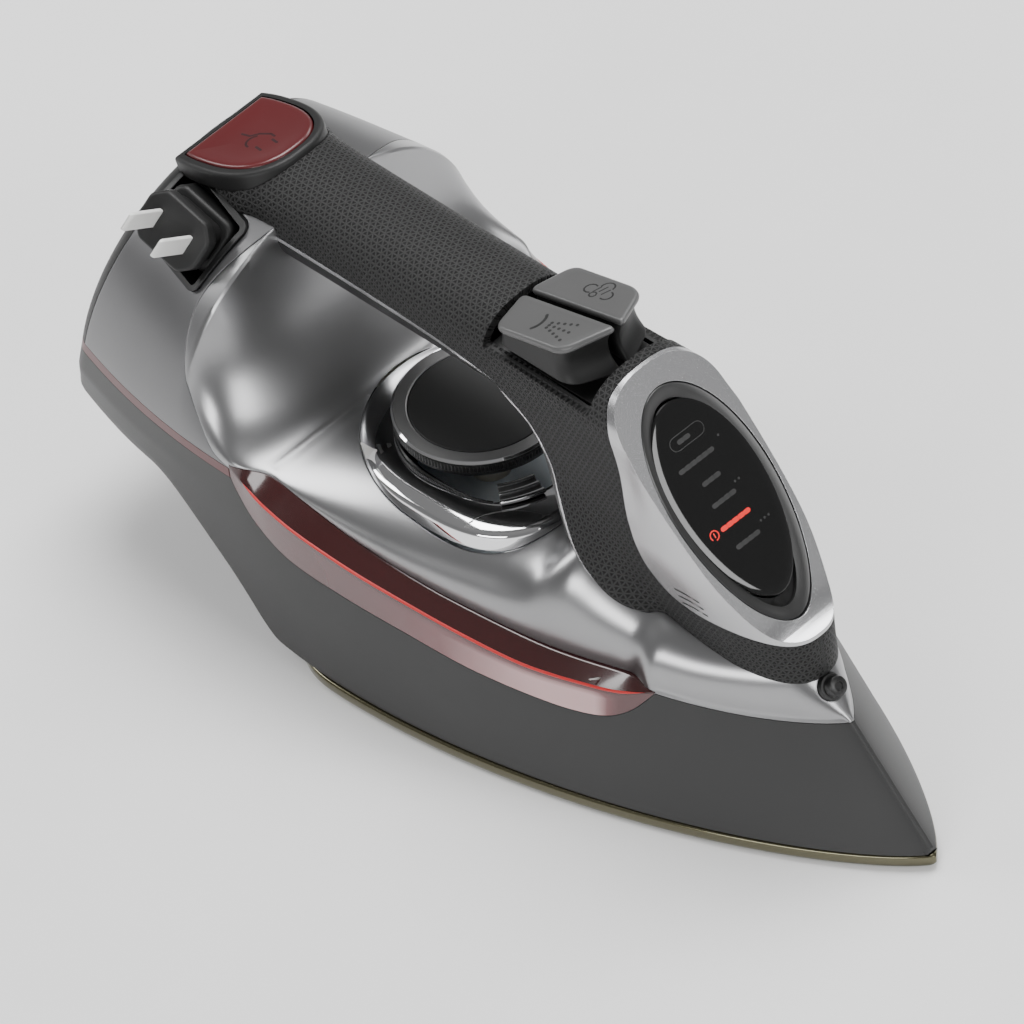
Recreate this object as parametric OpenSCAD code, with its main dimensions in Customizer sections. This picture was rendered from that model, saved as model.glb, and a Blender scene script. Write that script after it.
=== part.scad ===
// Steam iron with a retractable cord, a slanted display and a steam dial.
// Millimetres. +X points to the tip, +Y to the iron's left, +Z up.
// The origin lies on the ironing surface, under the middle of the overall length.

/* [Body] */
// Distance from the origin to the tip
tip_x = 155; // [150:1:160]
// Half width of the soleplate at its widest
sole_half_w = 62.4; // [58:0.2:66]
// Thickness of the soleplate
sole_t = 4.5; // [3:0.5:6]
// Wall thickness of the outer shells
wall = 2.4; // [1.8:0.2:3]
// Height of the top of the rear hood
hood_top = 132; // [128:1:134]
// Height of the deck around the dial
deck_z = 73; // [70:1:75]

/* [Handle] */
// Half width of the straight grip
grip_half_w = 18.3; // [16:0.1:20]
// Height of the grip's centre line
grip_z = 127.5; // [124:0.5:130]
// Half height of the grip
grip_half_h = 15.3; // [13:0.1:17]

/* [Dial] */
// Position of the dial axis along the body
dial_x = -23.1; // [-26:0.1:-20]
// Height of the dial's top face
dial_top = 82.5; // [80:0.5:84]
// Outer radius of the dial
dial_r = 27; // [24:0.5:28]

/* [Cord reel] */
// Position of the reel axis along the body
reel_x = -103; // [-105:0.5:-101]
// Radius of the reel's flanges
reel_r = 40; // [36:0.5:41]
// Diameter of the mains cord
cord_d = 5.8; // [5:0.1:6.5]

/* [Hidden] */
$fn = 64;

gap = 0.2;                 // joint line between neighbouring shells
max_w_x = -33;             // station of the soleplate's greatest width
rear_x = -70;              // rear end of the soleplate
ridge = 0.79;              // how far the front ridge leans back per unit of height
heel_x = -147.7;           // heel plane at the stripe's height
heel_lean = 0.318;         // how far the heel plane leans forward per unit of height
stripe_z = 71;             // middle of the stripe between the skirt and the hood
stripe_h = 3.6;            // height of the stripe
body_half_w = sole_half_w - 1;
corner_r = 6;              // rounding of the hood's rear edge
display_slope = 1.26;      // drop of the display plane per unit of length
display_z = 117;           // height of the display plane at display_x
display_x = 75;
display_tilt = atan(display_slope);
hood_seam_n = 2.15;        // exponent of the hood's arch

// ---------- curves ----------

function clamp01(t) = min(1, max(0, t));
function smooth(t) = let(u = clamp01(t)) u * u * (3 - 2 * u);
function mix(a, b, t) = a + (b - a) * t;
function cat(p, i, t) =
    let(a = p[max(0, i - 1)], b = p[i], c = p[i + 1], d = p[min(len(p) - 1, i + 2)])
    0.5 * (2 * b + (c - a) * t + (2 * a - 5 * b + 4 * c - d) * t * t
        + (3 * b - a - 3 * c + d) * t * t * t);
// Smooth curve through the points p, with n steps between neighbours
function curve(p, n = 4) =
    concat([for (i = [0:len(p) - 2], k = [0:n - 1]) cat(p, i, k / n)], [p[len(p) - 1]]);
function dz(p, h) = [for (q = p) [q[0], q[1] + h]];
function back_to_front(p) = [for (i = [len(p) - 1:-1:0]) p[i]];

// Side-view curves, as [x, z]
skirt_rim = curve([[-69, 69.2], [-66.5, 63.5], [-61, 55.5], [-49, 47.6], [-28, 43.6], [-5, 40.2],
    [16, 36.4], [37, 34.1], [52, 33.3], [62, 34.4], [69, 38.2], [75, 45]]);
window_crease = curve([[-69, 73.6], [-60, 68.4], [-45, 61.8], [-27, 57.2], [-9, 53.4],
    [12, 48.8], [35, 45], [55, 44], [67, 44.1], [75, 45.3]]);
window_top = curve([[-69, 74.6], [-60, 73.6], [-45, 68.4], [-27, 61.8], [-8, 56.4], [10, 52.4],
    [35, 48.3], [59, 46.6], [75, 45.6]]);
nose_rim = curve([[75, 45], [88, 43.5], [104, 42.3], [126, 41.5], [160, 41]]);
hood_seam = curve([[-69, 73], [-76, 76], [-83, 84], [-88, 94], [-91.5, 105], [-92.5, 114],
    [-90, 122], [-82, 133]]);
band_low = curve([[130, 54], [117, 55.6], [84, 60], [66, 64.5], [53, 71], [44, 77.5], [38, 84.5],
    [32, 94], [28, 104], [22, 113], [12, 119.5], [0, 123], [-20, 125.5], [-60, 126.5], [-104, 126.5]]);
band_top = curve([[49, 160], [53, 142], [57, 134], [60.5, 120], [62, 102], [65, 90], [69, 82],
    [75, 76.5], [84, 74], [96, 73.2], [106, 72.4], [118, 71], [135, 70]]);
neck_top = curve([[20, deck_z], [30, 74.5], [38, 80], [44, 80.5], [53, 74], [66, 67.5], [84, 63],
    [105, 60.5], [117, 58.5], [126, 50], [160, 10]]);

// ---------- body surface ----------

function ogive(u) = pow(max(0, 1 - pow(clamp01(u), 1.8)), 0.8);
function ridge_x(z) = tip_x - ridge * (z - 5);
function ridge_z(x) = 5 + (tip_x - x) / ridge;
// Half width of the body at station x and height z
function side_w(x, z) =
    let(x0 = max_w_x - 0.7 * (min(z, 60) - 5),
        front = body_half_w * ogive((x - x0) / (ridge_x(z) - x0)),
        lean_in = 0.2 * max(0, z - 45) * smooth((x + 20) / 60),
        rear = body_half_w - 13 * pow((x0 - x) / 80, 2))
    x > x0 ? max(0.05, front - lean_in) : rear;
// Height of the underside
function under_z(x) = sole_t + 0.2 + 38 * smooth((-60 - x) / 46);
// Height of the top along the middle
function top_z(x) =
    x < -91 ? hood_top :
    x < 20 ? deck_z + (hood_top - deck_z) * pow(clamp01((-52 - x) / 39), 2.3) :
    min(ridge_z(x) - 0.3, lookup(x, neck_top));
function at(x, c) = lookup(x, c);
function rim_z(x) = x < -69 ? stripe_z : x < 75 ? at(x, skirt_rim) : at(x, nose_rim);
// Heights of the lower edge, the crease and the upper edge of the window zone
function zone(x) =
    let(b = min(rim_z(x) + gap / 2, ridge_z(x) - 2), run_in = 2 * smooth((x + 85) / 16),
        c = x > 75 ? b + 0.6 : x < -69 ? b + 0.6 + run_in : max(b + 0.6, at(x, window_crease)),
        u = x < -69 || x > 75 ? c + 0.6 : max(c + 0.6, at(x, window_top) - gap / 2))
    [b, c, u];
function in_zone(x) = smooth((x + 69) / 14) * smooth((75 - x) / 12);

// Half section of the body at station s, drawn d inside the outer surface
function half_section(s, d) =
    let(inset = corner_r - sqrt(max(0, pow(corner_r, 2)
            - pow(max(0, corner_r - (s - heel_x)), 2))),
        e = d + inset,
        lo = under_z(s) + e,
        r = mix(0.6, 9, smooth((-60 - s) / 20)),
        z = zone(s),
        w = function(h) max(0.1, side_w(s, h) - e),
        yu = w(z[2]) - 5.5 * in_zone(s),
        hi = max(z[2] + 0.8, top_z(s) - e),
        n = mix(hood_seam_n, 2.6, smooth((s + 91) / 30)) + 0.2 * smooth((s - 22) / 24))
    [for (k = [0:3]) let(a = 30 * k) [w(lo + r) - r + r * sin(a), lo + r - r * cos(a)],
     for (k = [1:4]) let(h = mix(lo + r, z[0], k / 4)) [w(h), h],
     [w(z[1]) + 1.2 * in_zone(s), z[1]],
     for (k = [0:9]) let(a = 9.6 * k)
        [yu * pow(cos(a), 2 / n), mix(z[2], hi, pow(sin(a), 2 / n))],
     [0.02, hi]];
function ring(s, d) =
    let(h = half_section(s, d), m = len(h), lean = heel_lean * smooth((-70 - s) / 50))
    [for (p = h) [s + lean * (p[1] - stripe_z), p[0], p[1]],
     for (i = [m - 1:-1:0]) let(p = h[i]) [s + lean * (p[1] - stripe_z), -p[0], p[1]]];
stations = [0, 0.7, 2, 4, 6.5, 12, 22, 34, 44, 52, 57, 61, 66, 71, 75, 79, 84, 90, 98, 108, 118,
    130, 142, 154, 166, 178, 190, 202, 211, 218, 225, 232, 242, 254, 266, 276, 286, 294, 298.5, 301.4];

// Skin rings of equal length into one closed solid
module loft(rings) {
    n = len(rings[0]);
    m = len(rings);
    polyhedron([for (r = rings) each r], concat(
        [[for (i = [0:n - 1]) i]],
        [for (j = [0:m - 2], i = [0:n - 1])
            let(a = j * n + i, b = j * n + (i + 1) % n) each [[a, b + n, b], [a, a + n, b + n]]],
        [[for (i = [n - 1:-1:0]) (m - 1) * n + i]]));
}
// The whole body as a solid, drawn d inside the outer surface
module body_solid(d = 0) {
    loft([for (s = stations) if (s >= d && s < 301.9 - 2 * d) ring(heel_x + s, d)]);
}
// Keep a boolean of smooth shells as one mesh
module one_mesh() {
    resize([0, 0, 0]) children();
}
// Extrude a side-view outline across the body
module across(outline, y0 = -80, y1 = 80) {
    translate([0, y1, 0]) rotate([90, 0, 0]) linear_extrude(y1 - y0) polygon(outline);
}
module body_shell(t = wall) {
    difference() {
        body_solid();
        body_solid(t);
    }
}
function sole_outline(d, n = 26) =
    let(right = [for (k = [0:n])
        let(x = mix(tip_x - 2.2 * d, max_w_x, 0.5 - 0.5 * cos(180 * k / n)))
        [x, -max(k == 0 ? 0 : 0.3, sole_half_w * ogive((x - max_w_x) / (tip_x - max_w_x)) - d)]],
        rear = [for (k = [1:10]) let(a = 9 * k)
        [max_w_x - (max_w_x - rear_x - d) * pow(sin(a), 0.75),
         -(sole_half_w - d) * pow(cos(a), 0.75)]],
        half = concat(right, rear))
    concat(half, [for (i = [len(half) - 2:-1:1]) [half[i][0], -half[i][1]]]);
module sole_plan(d) {
    polygon(sole_outline(d));
}

// ---------- handle, column and display pod ----------

function grip_ring(x, a, top, low, d) =
    let(zc = (top + low) / 2, b = (top - low) / 2 - d, n = 2.5)
    [for (i = [0:23]) let(t = 15 * i, c = cos(t), s = sin(t))
        [x, (a - d) * sign(c) * pow(abs(c), 2 / n), zc + b * sign(s) * pow(abs(s), 2 / n)]];
grip_tops = curve([[-130, 131], [-124, 133.5], [-110, 139], [-97, 142.5], [-86, 142.8], [0, 142.8],
    [70, 143]]);
grip_widths = curve([[-130, 18], [-120, 20], [-100, 20.5], [-84, grip_half_w], [0, grip_half_w],
    [30, 19], [70, 20.5]]);
module handle_solid(d = 0, x0 = -128, x1 = 66) {
    n = 22;
    loft([for (k = [0:n]) let(x = mix(x0 + d, x1, k / n))
        grip_ring(x, lookup(x, grip_widths), lookup(x, grip_tops), grip_z - grip_half_h, d)]);
}
column_back = curve([[48, 62], [62, 60], [66, 58], [71, 53], [77.5, 44], [84.5, 38], [94, 32],
    [104, 28], [113, 22], [119.5, 12], [130, 0]]);
column_widths = curve([[48, 24], [64, 25], [71, 26.5], [77, 26], [84, 24], [94, 20.5], [104, 19],
    [130, grip_half_w]]);
function pod_ring(z, d) =
    let(xb = lookup(z, column_back) + 0.6 * d, wb = lookup(z, column_widths) - d,
        yn = 17.6 + 3.4 * smooth((z - 60) / 35) - d, e = 0.8,
        half = concat(
            [for (t = [3:14.5:90]) [70 + (47 - d) * pow(cos(t), e), yn * pow(sin(t), e)]],
            [for (k = [1:4]) [mix(70, xb, k / 4), mix(yn, wb, smooth(k / 4))]],
            [for (t = [22:17:73]) [xb - 10 * sin(t), wb * pow(cos(t), e)]]),
        m = len(half))
    concat([[117 - d, 0, z]], [for (p = half) [p[0], p[1], z]], [[xb - 10, 0, z]],
        [for (i = [m - 1:-1:0]) [half[i][0], -half[i][1], z]]);
module pod_solid(d = 0) {
    loft([for (k = [0:19]) pod_ring(mix(50 + d, 127 - d, k / 19), d)]);
}
display_cut = [[44, 156], [109, 74.2], [116, 72.5], [130, 71.5], [200, 71], [200, 200], [44, 200]];
module front_solid(d = 0) {
    difference() {
        union() {
            handle_solid(d);
            pod_solid(d);
        }
        translate([-d * sin(display_tilt), 0, -d * cos(display_tilt)]) across(display_cut);
    }
}
module front_shell(t) {
    difference() {
        front_solid();
        front_solid(t);
    }
}
grip_region = concat(back_to_front(band_top), [[49, 200], [-200, 200], [-200, 126.5]],
    back_to_front(band_low));
bezel_region = concat(band_top, [[200, 60], [200, 200]]);

// ---------- local frames ----------

function unit(v) = v / norm(v);
plug_axis = unit([0.17, -0.79, 0.588]);               // the way the plug comes out
plug_up = unit(cross(plug_axis, [0.956, 0, -0.292]));  // along the width of a blade
plug_side = cross(plug_up, plug_axis);                 // from one blade to the other
plug_face = [-106, -39.5, 131.5];                      // middle of the plug's front face
recess_l = 32;
recess_w = 25;
module at_plug() {
    s = plug_side;
    u = plug_up;
    o = plug_axis;
    p = plug_face;
    multmatrix([[s[0], u[0], o[0], p[0]], [s[1], u[1], o[1], p[1]], [s[2], u[2], o[2], p[2]],
        [0, 0, 0, 1]]) children();
}
module at_display() {
    translate([84, 0, display_z - display_slope * (84 - display_x)]) rotate([0, display_tilt, 0])
        children();
}
module at_dial(z) {
    translate([dial_x, 0, z]) children();
}
module at_fill() {
    translate([44, 31.5, 62]) rotate([-46, 0, 0]) children();
}
module rounded_rect(l, w, r) {
    for (i = [-1, 1], j = [-1, 1]) translate([i * (l / 2 - r), j * (w / 2 - r)]) circle(r);
    square([l - 2 * r, w], center = true);
    square([l, w - 2 * r], center = true);
}
// Outline of the dial plate: rounder behind, squarer ahead
function plate_outline(d) = [for (i = [0:47])
    let(t = 7.5 * i, c = cos(t), s = sin(t), n = c > 0 ? 3 : 2)
    [-17 + (43 + d) * sign(c) * pow(abs(c), 2 / n), (39.5 + d) * sign(s) * pow(abs(s), 2 / n)]];
function egg(a, b, k = 0.1) = [for (i = [0:47]) let(t = 7.5 * i)
    [-a * cos(t), b * sin(t) * (1 + k * cos(t))]];
// Coil spring of wire w, standing on z = 0
module coil_spring(r, w, h, turns) {
    n = 10 * turns;
    loft([for (i = [0:n]) let(a = 36 * i, z = w / 2 + (h - w) * i / n)
        [for (k = [0:5]) let(b = 60 * k)
            [(r + w / 2 * cos(b)) * cos(a), (r + w / 2 * cos(b)) * sin(a), z - w / 2 * sin(b)]]]);
}

// ---------- sole and steam chamber ----------

module soleplate() {
    color([0.36, 0.35, 0.27]) difference() {
        linear_extrude(sole_t) sole_plan(0);
        for (s = [-1, 1], k = [0:7])
            translate([-40 + 19 * k, s * (36 - 0.22 * k * k), -1]) cylinder(r = 1.6, h = 8, $fn = 24);
        for (k = [0:2]) translate([104 + 11 * k, 0, -1]) cylinder(r = 1.6, h = 8, $fn = 24);
    }
}
block_top = 14.2;
element_x = 52;
element_r = 24;
module heating_path(r) {
    translate([element_x, 0, block_top]) rotate([0, 0, -90]) rotate_extrude(angle = 180)
        translate([element_r, 0]) circle(r);
    for (s = [-1, 1]) translate([-52, s * element_r, block_top]) rotate([0, 90, 0])
        cylinder(r = r, h = element_x + 52);
}
module element_ends(r, l) {
    for (s = [-1, 1]) translate([-52 - l, s * element_r, block_top]) rotate([0, 90, 0])
        cylinder(r = r, h = l);
}
module heater_block() {
    color([0.66, 0.67, 0.68]) difference() {
        translate([0, 0, sole_t + gap]) linear_extrude(block_top - sole_t - gap) sole_plan(9);
        heating_path(3.6);
        element_ends(3, 8);
        translate([0, 0, 9]) linear_extrude(6) translate([-6, 0]) rounded_rect(86, 26, 12);
    }
}
module heating_element() {
    color([0.45, 0.42, 0.4]) {
        heating_path(3.3);
        element_ends(1.5, 4);
    }
}
module chamber_cover() {
    color([0.72, 0.73, 0.74]) translate([-6, 0, block_top + 0.1]) difference() {
        linear_extrude(1.8) rounded_rect(96, 38, 14);
        translate([dial_x + 6, 0, -1]) cylinder(r = 3, h = 4);
    }
}
module thermostat() {
    color([0.85, 0.84, 0.8]) translate([22, 0, block_top + 2]) {
        cylinder(r = 8, h = 4.6);
        for (s = [-1, 1]) translate([-1, s * 5 - 1.5, 4.5]) cube([6, 3, 1]);
    }
}
module thermal_fuse() {
    color([0.75, 0.72, 0.6]) translate([-44, 0, block_top + 4.8]) rotate([90, 0, 0])
        cylinder(r = 2.6, h = 20, center = true);
}
// ---------- body shells ----------

skirt_region = concat([[-200, -5]], [[-200, stripe_z - stripe_h / 2 - gap]], skirt_rim, nose_rim,
    [[200, 41], [200, -5]]);
window_region = concat(dz(skirt_rim, gap), back_to_front(dz(window_top, -gap)));
stripe_region = [[-200, stripe_z - stripe_h / 2], [-69.4, stripe_z - stripe_h / 2],
    [-69.4, stripe_z + stripe_h / 2], [-200, stripe_z + stripe_h / 2]];
upper_region = concat(dz(window_top, 0), dz(nose_rim, gap), [[200, 41], [200, 200], [-82, 200]],
    [for (p = back_to_front(hood_seam)) [p[0] + gap, p[1]]]);
hood_region = concat([[-200, stripe_z + stripe_h / 2 + gap], [-69, stripe_z + stripe_h / 2 + gap]],
    hood_seam, [[-82, 200], [-200, 200]]);
// Everything behind a plane that lies t in front of the heel
module behind_heel(t, z0 = 40, z1 = 150) {
    x = function(z) heel_x + t + heel_lean * (z - stripe_z);
    across([[x(z0), z0], [x(z1), z1], [-200, z1], [-200, z0]]);
}
module recess_plan(d) {
    translate([-0.7, 0]) rounded_rect(recess_l + 2 * d, recess_w + 2 * d, 3 + d);
}
module plug_opening() {
    at_plug() translate([0, 0, -34]) linear_extrude(60) recess_plan(gap);
}
module rewind_opening() {
    at_rewind(-7) linear_extrude(30) rewind_plan(3.2);
}
module skirt() {
    color([0.27, 0.27, 0.27]) one_mesh() difference() {
        intersection() {
            body_shell();
            across(skirt_region);
        }
        translate([0, 0, -1]) linear_extrude(12) intersection() {
            sole_plan(7);
            translate([-64, -80]) square([240, 160]);
        }
    }
}
module upper_body() {
    color([0.62, 0.62, 0.63]) one_mesh() difference() {
        intersection() {
            body_shell();
            across(upper_region);
        }
        translate([0, 0, 60]) linear_extrude(40) polygon(plate_outline(gap));
        at_fill() translate([0, 0, -8]) cylinder(r = 8.2, h = 20);
        translate([118, 0, 51]) rotate([0, 55, 0]) cylinder(r = 4.4, h = 30, center = true);
        translate([84, 0, 50]) cylinder(r = 3, h = 30);
    }
}
module window_panel(side) {
    color([0.5, 0.12, 0.13, 0.7]) one_mesh() intersection() {
        body_shell();
        across(window_region, side > 0 ? 22 : -80, side > 0 ? 80 : -22);
    }
}
module window_right() {
    window_panel(-1);
}
module window_left() {
    window_panel(1);
}
module rear_hood() {
    color([0.5, 0.5, 0.51]) one_mesh() difference() {
        intersection() {
            body_shell();
            across(hood_region);
        }
        behind_heel(5.4);
        plug_opening();
        rewind_opening();
        rod_hole();
    }
}
module hood_stripe() {
    color([0.45, 0.28, 0.29]) one_mesh() intersection() {
        body_shell();
        across(stripe_region);
    }
}
module heel_cover() {
    color([0.2, 0.2, 0.2]) one_mesh() difference() {
        intersection() {
            body_shell();
            behind_heel(5.2, stripe_z + stripe_h / 2 + gap);
        }
        plug_opening();
        rewind_opening();
    }
}
module heel_feet() {
    color([0.12, 0.12, 0.12])
        for (s = [-1, 1]) translate([heel_x - 0.1, 0, stripe_z]) rotate([0, atan(heel_lean), 0])
            translate([0, s * 26, 0]) rotate([0, -90, 0]) {
                translate([22, 0]) cylinder(r = 4, h = 1.4, $fn = 32);
                translate([-12, 0]) cylinder(r = 4, h = 1.4, $fn = 32);
            }
}
// ---------- water and steam ----------

tank_outline = let(r = [for (k = [0:12]) let(x = -42 + 10 * k) [x, -(side_w(x, 60) - 10.5)]])
    concat(r, [for (p = back_to_front(r)) [p[0], -p[1]]]);
module water_tank() {
    color([0.8, 0.85, 0.88, 0.5]) difference() {
        translate([0, 0, 24]) linear_extrude(31) polygon(tank_outline);
        translate([0, 0, 26]) linear_extrude(27) offset(delta = -2) polygon(tank_outline);
        at_dial(20) cylinder(r = 6.4, h = 40);
        at_fill() translate([0, 0, -24]) cylinder(r = 5.2, h = 24);
    }
}
module steam_valve() {
    color([0.88, 0.87, 0.83]) at_dial(block_top + 2.1) difference() {
        union() {
            cylinder(r = 5.6, h = 44);
            cylinder(r = 8, h = 5);
        }
        translate([0, 0, 24]) cylinder(r = 3.55, h = 30);
        translate([0, 0, -1]) cylinder(r = 1.2, h = 30, $fn = 24);
    }
}
module spray_nozzle() {
    color([0.1, 0.1, 0.1]) translate([118, 0, 51]) rotate([0, 55, 0]) difference() {
        union() {
            translate([0, 0, -6]) cylinder(r = 4.2, h = 9.5);
            translate([0, 0, 2.2]) cylinder(r1 = 4.2, r2 = 2.4, h = 3.4);
        }
        translate([0, 0, -8]) cylinder(r = 1, h = 20, $fn = 24);
    }
}
module spray_tube() {
    color([0.9, 0.9, 0.88]) {
        translate([86, 0, 50]) rotate([0, 90, 0]) difference() {
            cylinder(r = 2.2, h = 20);
            translate([0, 0, -1]) cylinder(r = 1.3, h = 22, $fn = 24);
        }
        translate([84, 0, 47.8]) difference() {
            cylinder(r = 2.6, h = 24);
            translate([0, 0, 3]) cylinder(r = 1.3, h = 22, $fn = 24);
        }
    }
}
button_x = 24;             // pumps and springs stand on this line
button_y = 7.5;
module pump(y) {
    translate([button_x, y, 114]) {
        cylinder(r = 4.6, h = 14);
        translate([0, 0, -6]) cylinder(r = 2, h = 6.1);
        translate([0, 0, 13.9]) cylinder(r = 1.8, h = 2);
    }
}
module spray_pump() {
    color([0.85, 0.85, 0.8]) pump(-button_y);
}
module steam_pump() {
    color([0.8, 0.82, 0.85]) pump(button_y);
}
module fill_neck() {
    color([0.3, 0.3, 0.3]) at_fill() translate([0, 0, -12]) difference() {
        union() {
            cylinder(r = 5, h = 8);
            translate([0, 0, 7.9]) cylinder(r = 7.2, h = 2.2);
        }
        translate([0, 0, -1]) cylinder(r = 3.6, h = 20);
    }
}
module fill_door() {
    color([0.62, 0.62, 0.63]) {
        one_mesh() intersection() {
            difference() {
                body_solid(-1.6);
                body_solid(-0.35);
            }
            at_fill() cylinder(r = 11, h = 30, center = true);
        }
        translate([41, 39.6, 52]) rotate([0, 90, 0]) cylinder(r = 1.2, h = 8);
        translate([41.5, 37.6, 51.2]) cube([2.5, 2, 2.4]);
        translate([46, 36.5, 51.2]) cube([2.5, 3.1, 2.4]);
    }
}
// ---------- handle ----------

module button_pocket() {
    translate([3.6, -25, 133.4]) cube([45.4, 50, 30]);
}
rewind_slope = 16;
rod_x = -121;              // brake rod from the rewind button down to the reel
rod_y = 13;
module at_rewind(z) {
    translate([-108.5, 0, 139.9]) rotate([0, -rewind_slope, 0]) translate([0, 0, z]) children();
}
module rewind_plan(d) {
    intersection() {
        translate([-16 - d, -17 - d]) square([34 + 2 * d, 34 + 2 * d]);
        polygon([for (i = [0:47]) let(t = 7.5 * i, c = cos(t), s = sin(t))
            [-6 + (23 + d) * sign(c) * pow(abs(c), 0.8), (16.6 + d) * sign(s) * pow(abs(s), 0.8)]]);
    }
}
module grip_shell() {
    color([0.15, 0.15, 0.15]) one_mesh() difference() {
        intersection() {
            front_shell(3);
            across(grip_region);
        }
        body_solid(-gap);
        button_pocket();
        plug_opening();
        rewind_opening();
    }
}
module lower_part(h0, h1) {
    across(concat(dz(band_low, -h0), back_to_front(dz(band_low, -h1))));
}
module grip_trim() {
    color([0.7, 0.7, 0.7]) one_mesh() difference() {
        intersection() {
            front_shell(2.6);
            lower_part(0.15, 1.7);
            translate([-84, -40, 73]) cube([134, 80, 70]);
        }
        body_solid(-gap);
    }
}
module grip_underside() {
    color([0.22, 0.22, 0.22]) one_mesh() difference() {
        intersection() {
            front_shell(3);
            across(concat(dz(band_low, -1.9), [[-104, 60], [60, 60]]));
            translate([-110, -40, 70]) cube([166, 80, 80]);
        }
        body_solid(-gap);
        plug_opening();
    }
}
module button_frame() {
    color([0.08, 0.08, 0.08]) difference() {
        translate([4, -14.2, 130.6]) cube([44.6, 28.4, 2.4]);
        for (s = [-1, 1]) translate([button_x, s * button_y, 120]) cylinder(r = 2.4, h = 20);
    }
}
module press_button() {
    across([[5, 137.5], [5, 143.4], [6.2, 144.6], [41.8, 154.9], [43.4, 154.3], [47, 137.5]], 0.5, 17);
}
module spray_button() {
    color([0.37, 0.37, 0.37]) difference() {
        mirror([0, 1, 0]) press_button();
        translate([button_x, -button_y, 130]) cylinder(r = 4.4, h = 11);
    }
}
module steam_button() {
    color([0.37, 0.37, 0.37]) difference() {
        press_button();
        translate([button_x, button_y, 130]) cylinder(r = 4.4, h = 11);
    }
}
module spray_spring() {
    color([0.7, 0.7, 0.72]) translate([button_x, -button_y, 133.1]) coil_spring(3.4, 0.8, 7.8, 4);
}
module steam_spring() {
    color([0.7, 0.7, 0.72]) translate([button_x, button_y, 133.1]) coil_spring(3.4, 0.8, 7.8, 4);
}
module rod_hole() {
    translate([rod_x, rod_y, 100]) cylinder(r = 2.8, h = 60, $fn = 32);
}
module rewind_surround() {
    color([0.09, 0.09, 0.09]) difference() {
        at_rewind(-6.8) linear_extrude(6.2) rewind_plan(3);
        at_rewind(-5.2) linear_extrude(9) rewind_plan(0.4);
        rod_hole();
    }
}
module rewind_button() {
    color([0.45, 0.2, 0.21]) {
        at_rewind(-3.2) linear_extrude(3.2) rewind_plan(0);
        translate([rod_x, rod_y, 73]) cylinder(r = 1.8, h = 61, $fn = 32);
    }
}
module rewind_spring() {
    color([0.7, 0.7, 0.72]) at_rewind(-5.15) coil_spring(3, 0.6, 1.9, 2);
}
// ---------- display ----------

module display_bezel() {
    color([0.8, 0.8, 0.82]) one_mesh() difference() {
        intersection() {
            front_shell(2.4);
            across([for (p = bezel_region) [p[0] + gap, p[1] + gap]]);
        }
        body_solid(-gap);
        at_display() translate([0, 0, -20]) linear_extrude(40) polygon(egg(40.2, 19.1));
    }
}
module display_frame() {
    color([0.3, 0.3, 0.3]) at_display() translate([0, 0, -3]) difference() {
        linear_extrude(3) polygon(egg(40, 18.9));
        translate([-1.5, 0, 1.2]) linear_extrude(4) polygon(egg(33.2, 16.9));
        translate([-1.5, 0, -1]) linear_extrude(4) polygon(egg(29, 13));
    }
}
module display_glass() {
    color([0.08, 0.08, 0.08]) at_display() translate([-1.5, 0, -1.7]) linear_extrude(1.5)
        polygon(egg(33, 16.7));
}
module display_board() {
    color([0.1, 0.35, 0.2]) at_display() translate([-1.5, 0, -7]) linear_extrude(1.6)
        rounded_rect(46, 22, 3);
}
module control_board() {
    color([0.1, 0.35, 0.2]) translate([-132, -26, 78]) cube([1.6, 52, 22]);
}
// ---------- dial and slider ----------

plate_top = 76;
module slider_slot(a0, a1, r0, r1) {
    rotate([0, 0, a0]) rotate_extrude(angle = a1 - a0) translate([r0, 0]) square([r1 - r0, 30]);
}
module dial_plate() {
    color([0.85, 0.85, 0.87]) difference() {
        translate([0, 0, 68.6]) linear_extrude(plate_top - 68.6) polygon(plate_outline(0));
        translate([0, 0, 68]) linear_extrude(plate_top - 2.4 - 68) polygon(plate_outline(-2.6));
        at_dial(60) cylinder(r = 4.4, h = 20);
        at_dial(70) slider_slot(-40, 28, 34, 37);
    }
}
module dial_knob() {
    teeth = 72;
    color([0.1, 0.1, 0.1]) at_dial(plate_top + 0.4) difference() {
        linear_extrude(dial_top - plate_top - 1.4) polygon([for (i = [0:2 * teeth - 1])
            let(a = 180 * i / teeth, r = i % 2 == 0 ? dial_r - 0.3 : dial_r - 0.8)
            [r * cos(a), r * sin(a)]]);
        translate([0, 0, -1]) cylinder(r = 3.5, h = 3.6);
    }
}
module dial_ring() {
    color([0.6, 0.6, 0.62]) at_dial(dial_top - 0.9) rotate_extrude($fn = 96)
        polygon([[22.1, 0], [dial_r, 0], [dial_r, 0.2], [dial_r - 1, 0.9], [22.1, 0.9]]);
}
module dial_cap() {
    color([0.13, 0.13, 0.13]) at_dial(dial_top - 0.9) rotate_extrude($fn = 96)
        polygon([[0, 0], [21.9, 0], [21.9, 0.6], [21.6, 0.9], [0, 0.9]]);
}
module dial_shaft() {
    color([0.8, 0.8, 0.78]) at_dial(42) cylinder(r = 3.5, h = plate_top + 3 - 42);
}
module steam_slider() {
    color([0.75, 0.75, 0.77]) at_dial(0) {
        rotate([0, 0, -37]) rotate_extrude(angle = 20) translate([34.4, 71.4]) square([2.2, 7]);
        rotate([0, 0, -37]) rotate_extrude(angle = 20) translate([32, 76.4]) square([8, 1.8]);
        rotate([0, 0, -37]) rotate_extrude(angle = 20) translate([32.4, 69]) square([6.2, 2.5]);
    }
}
// ---------- cord reel and plug ----------

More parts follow.
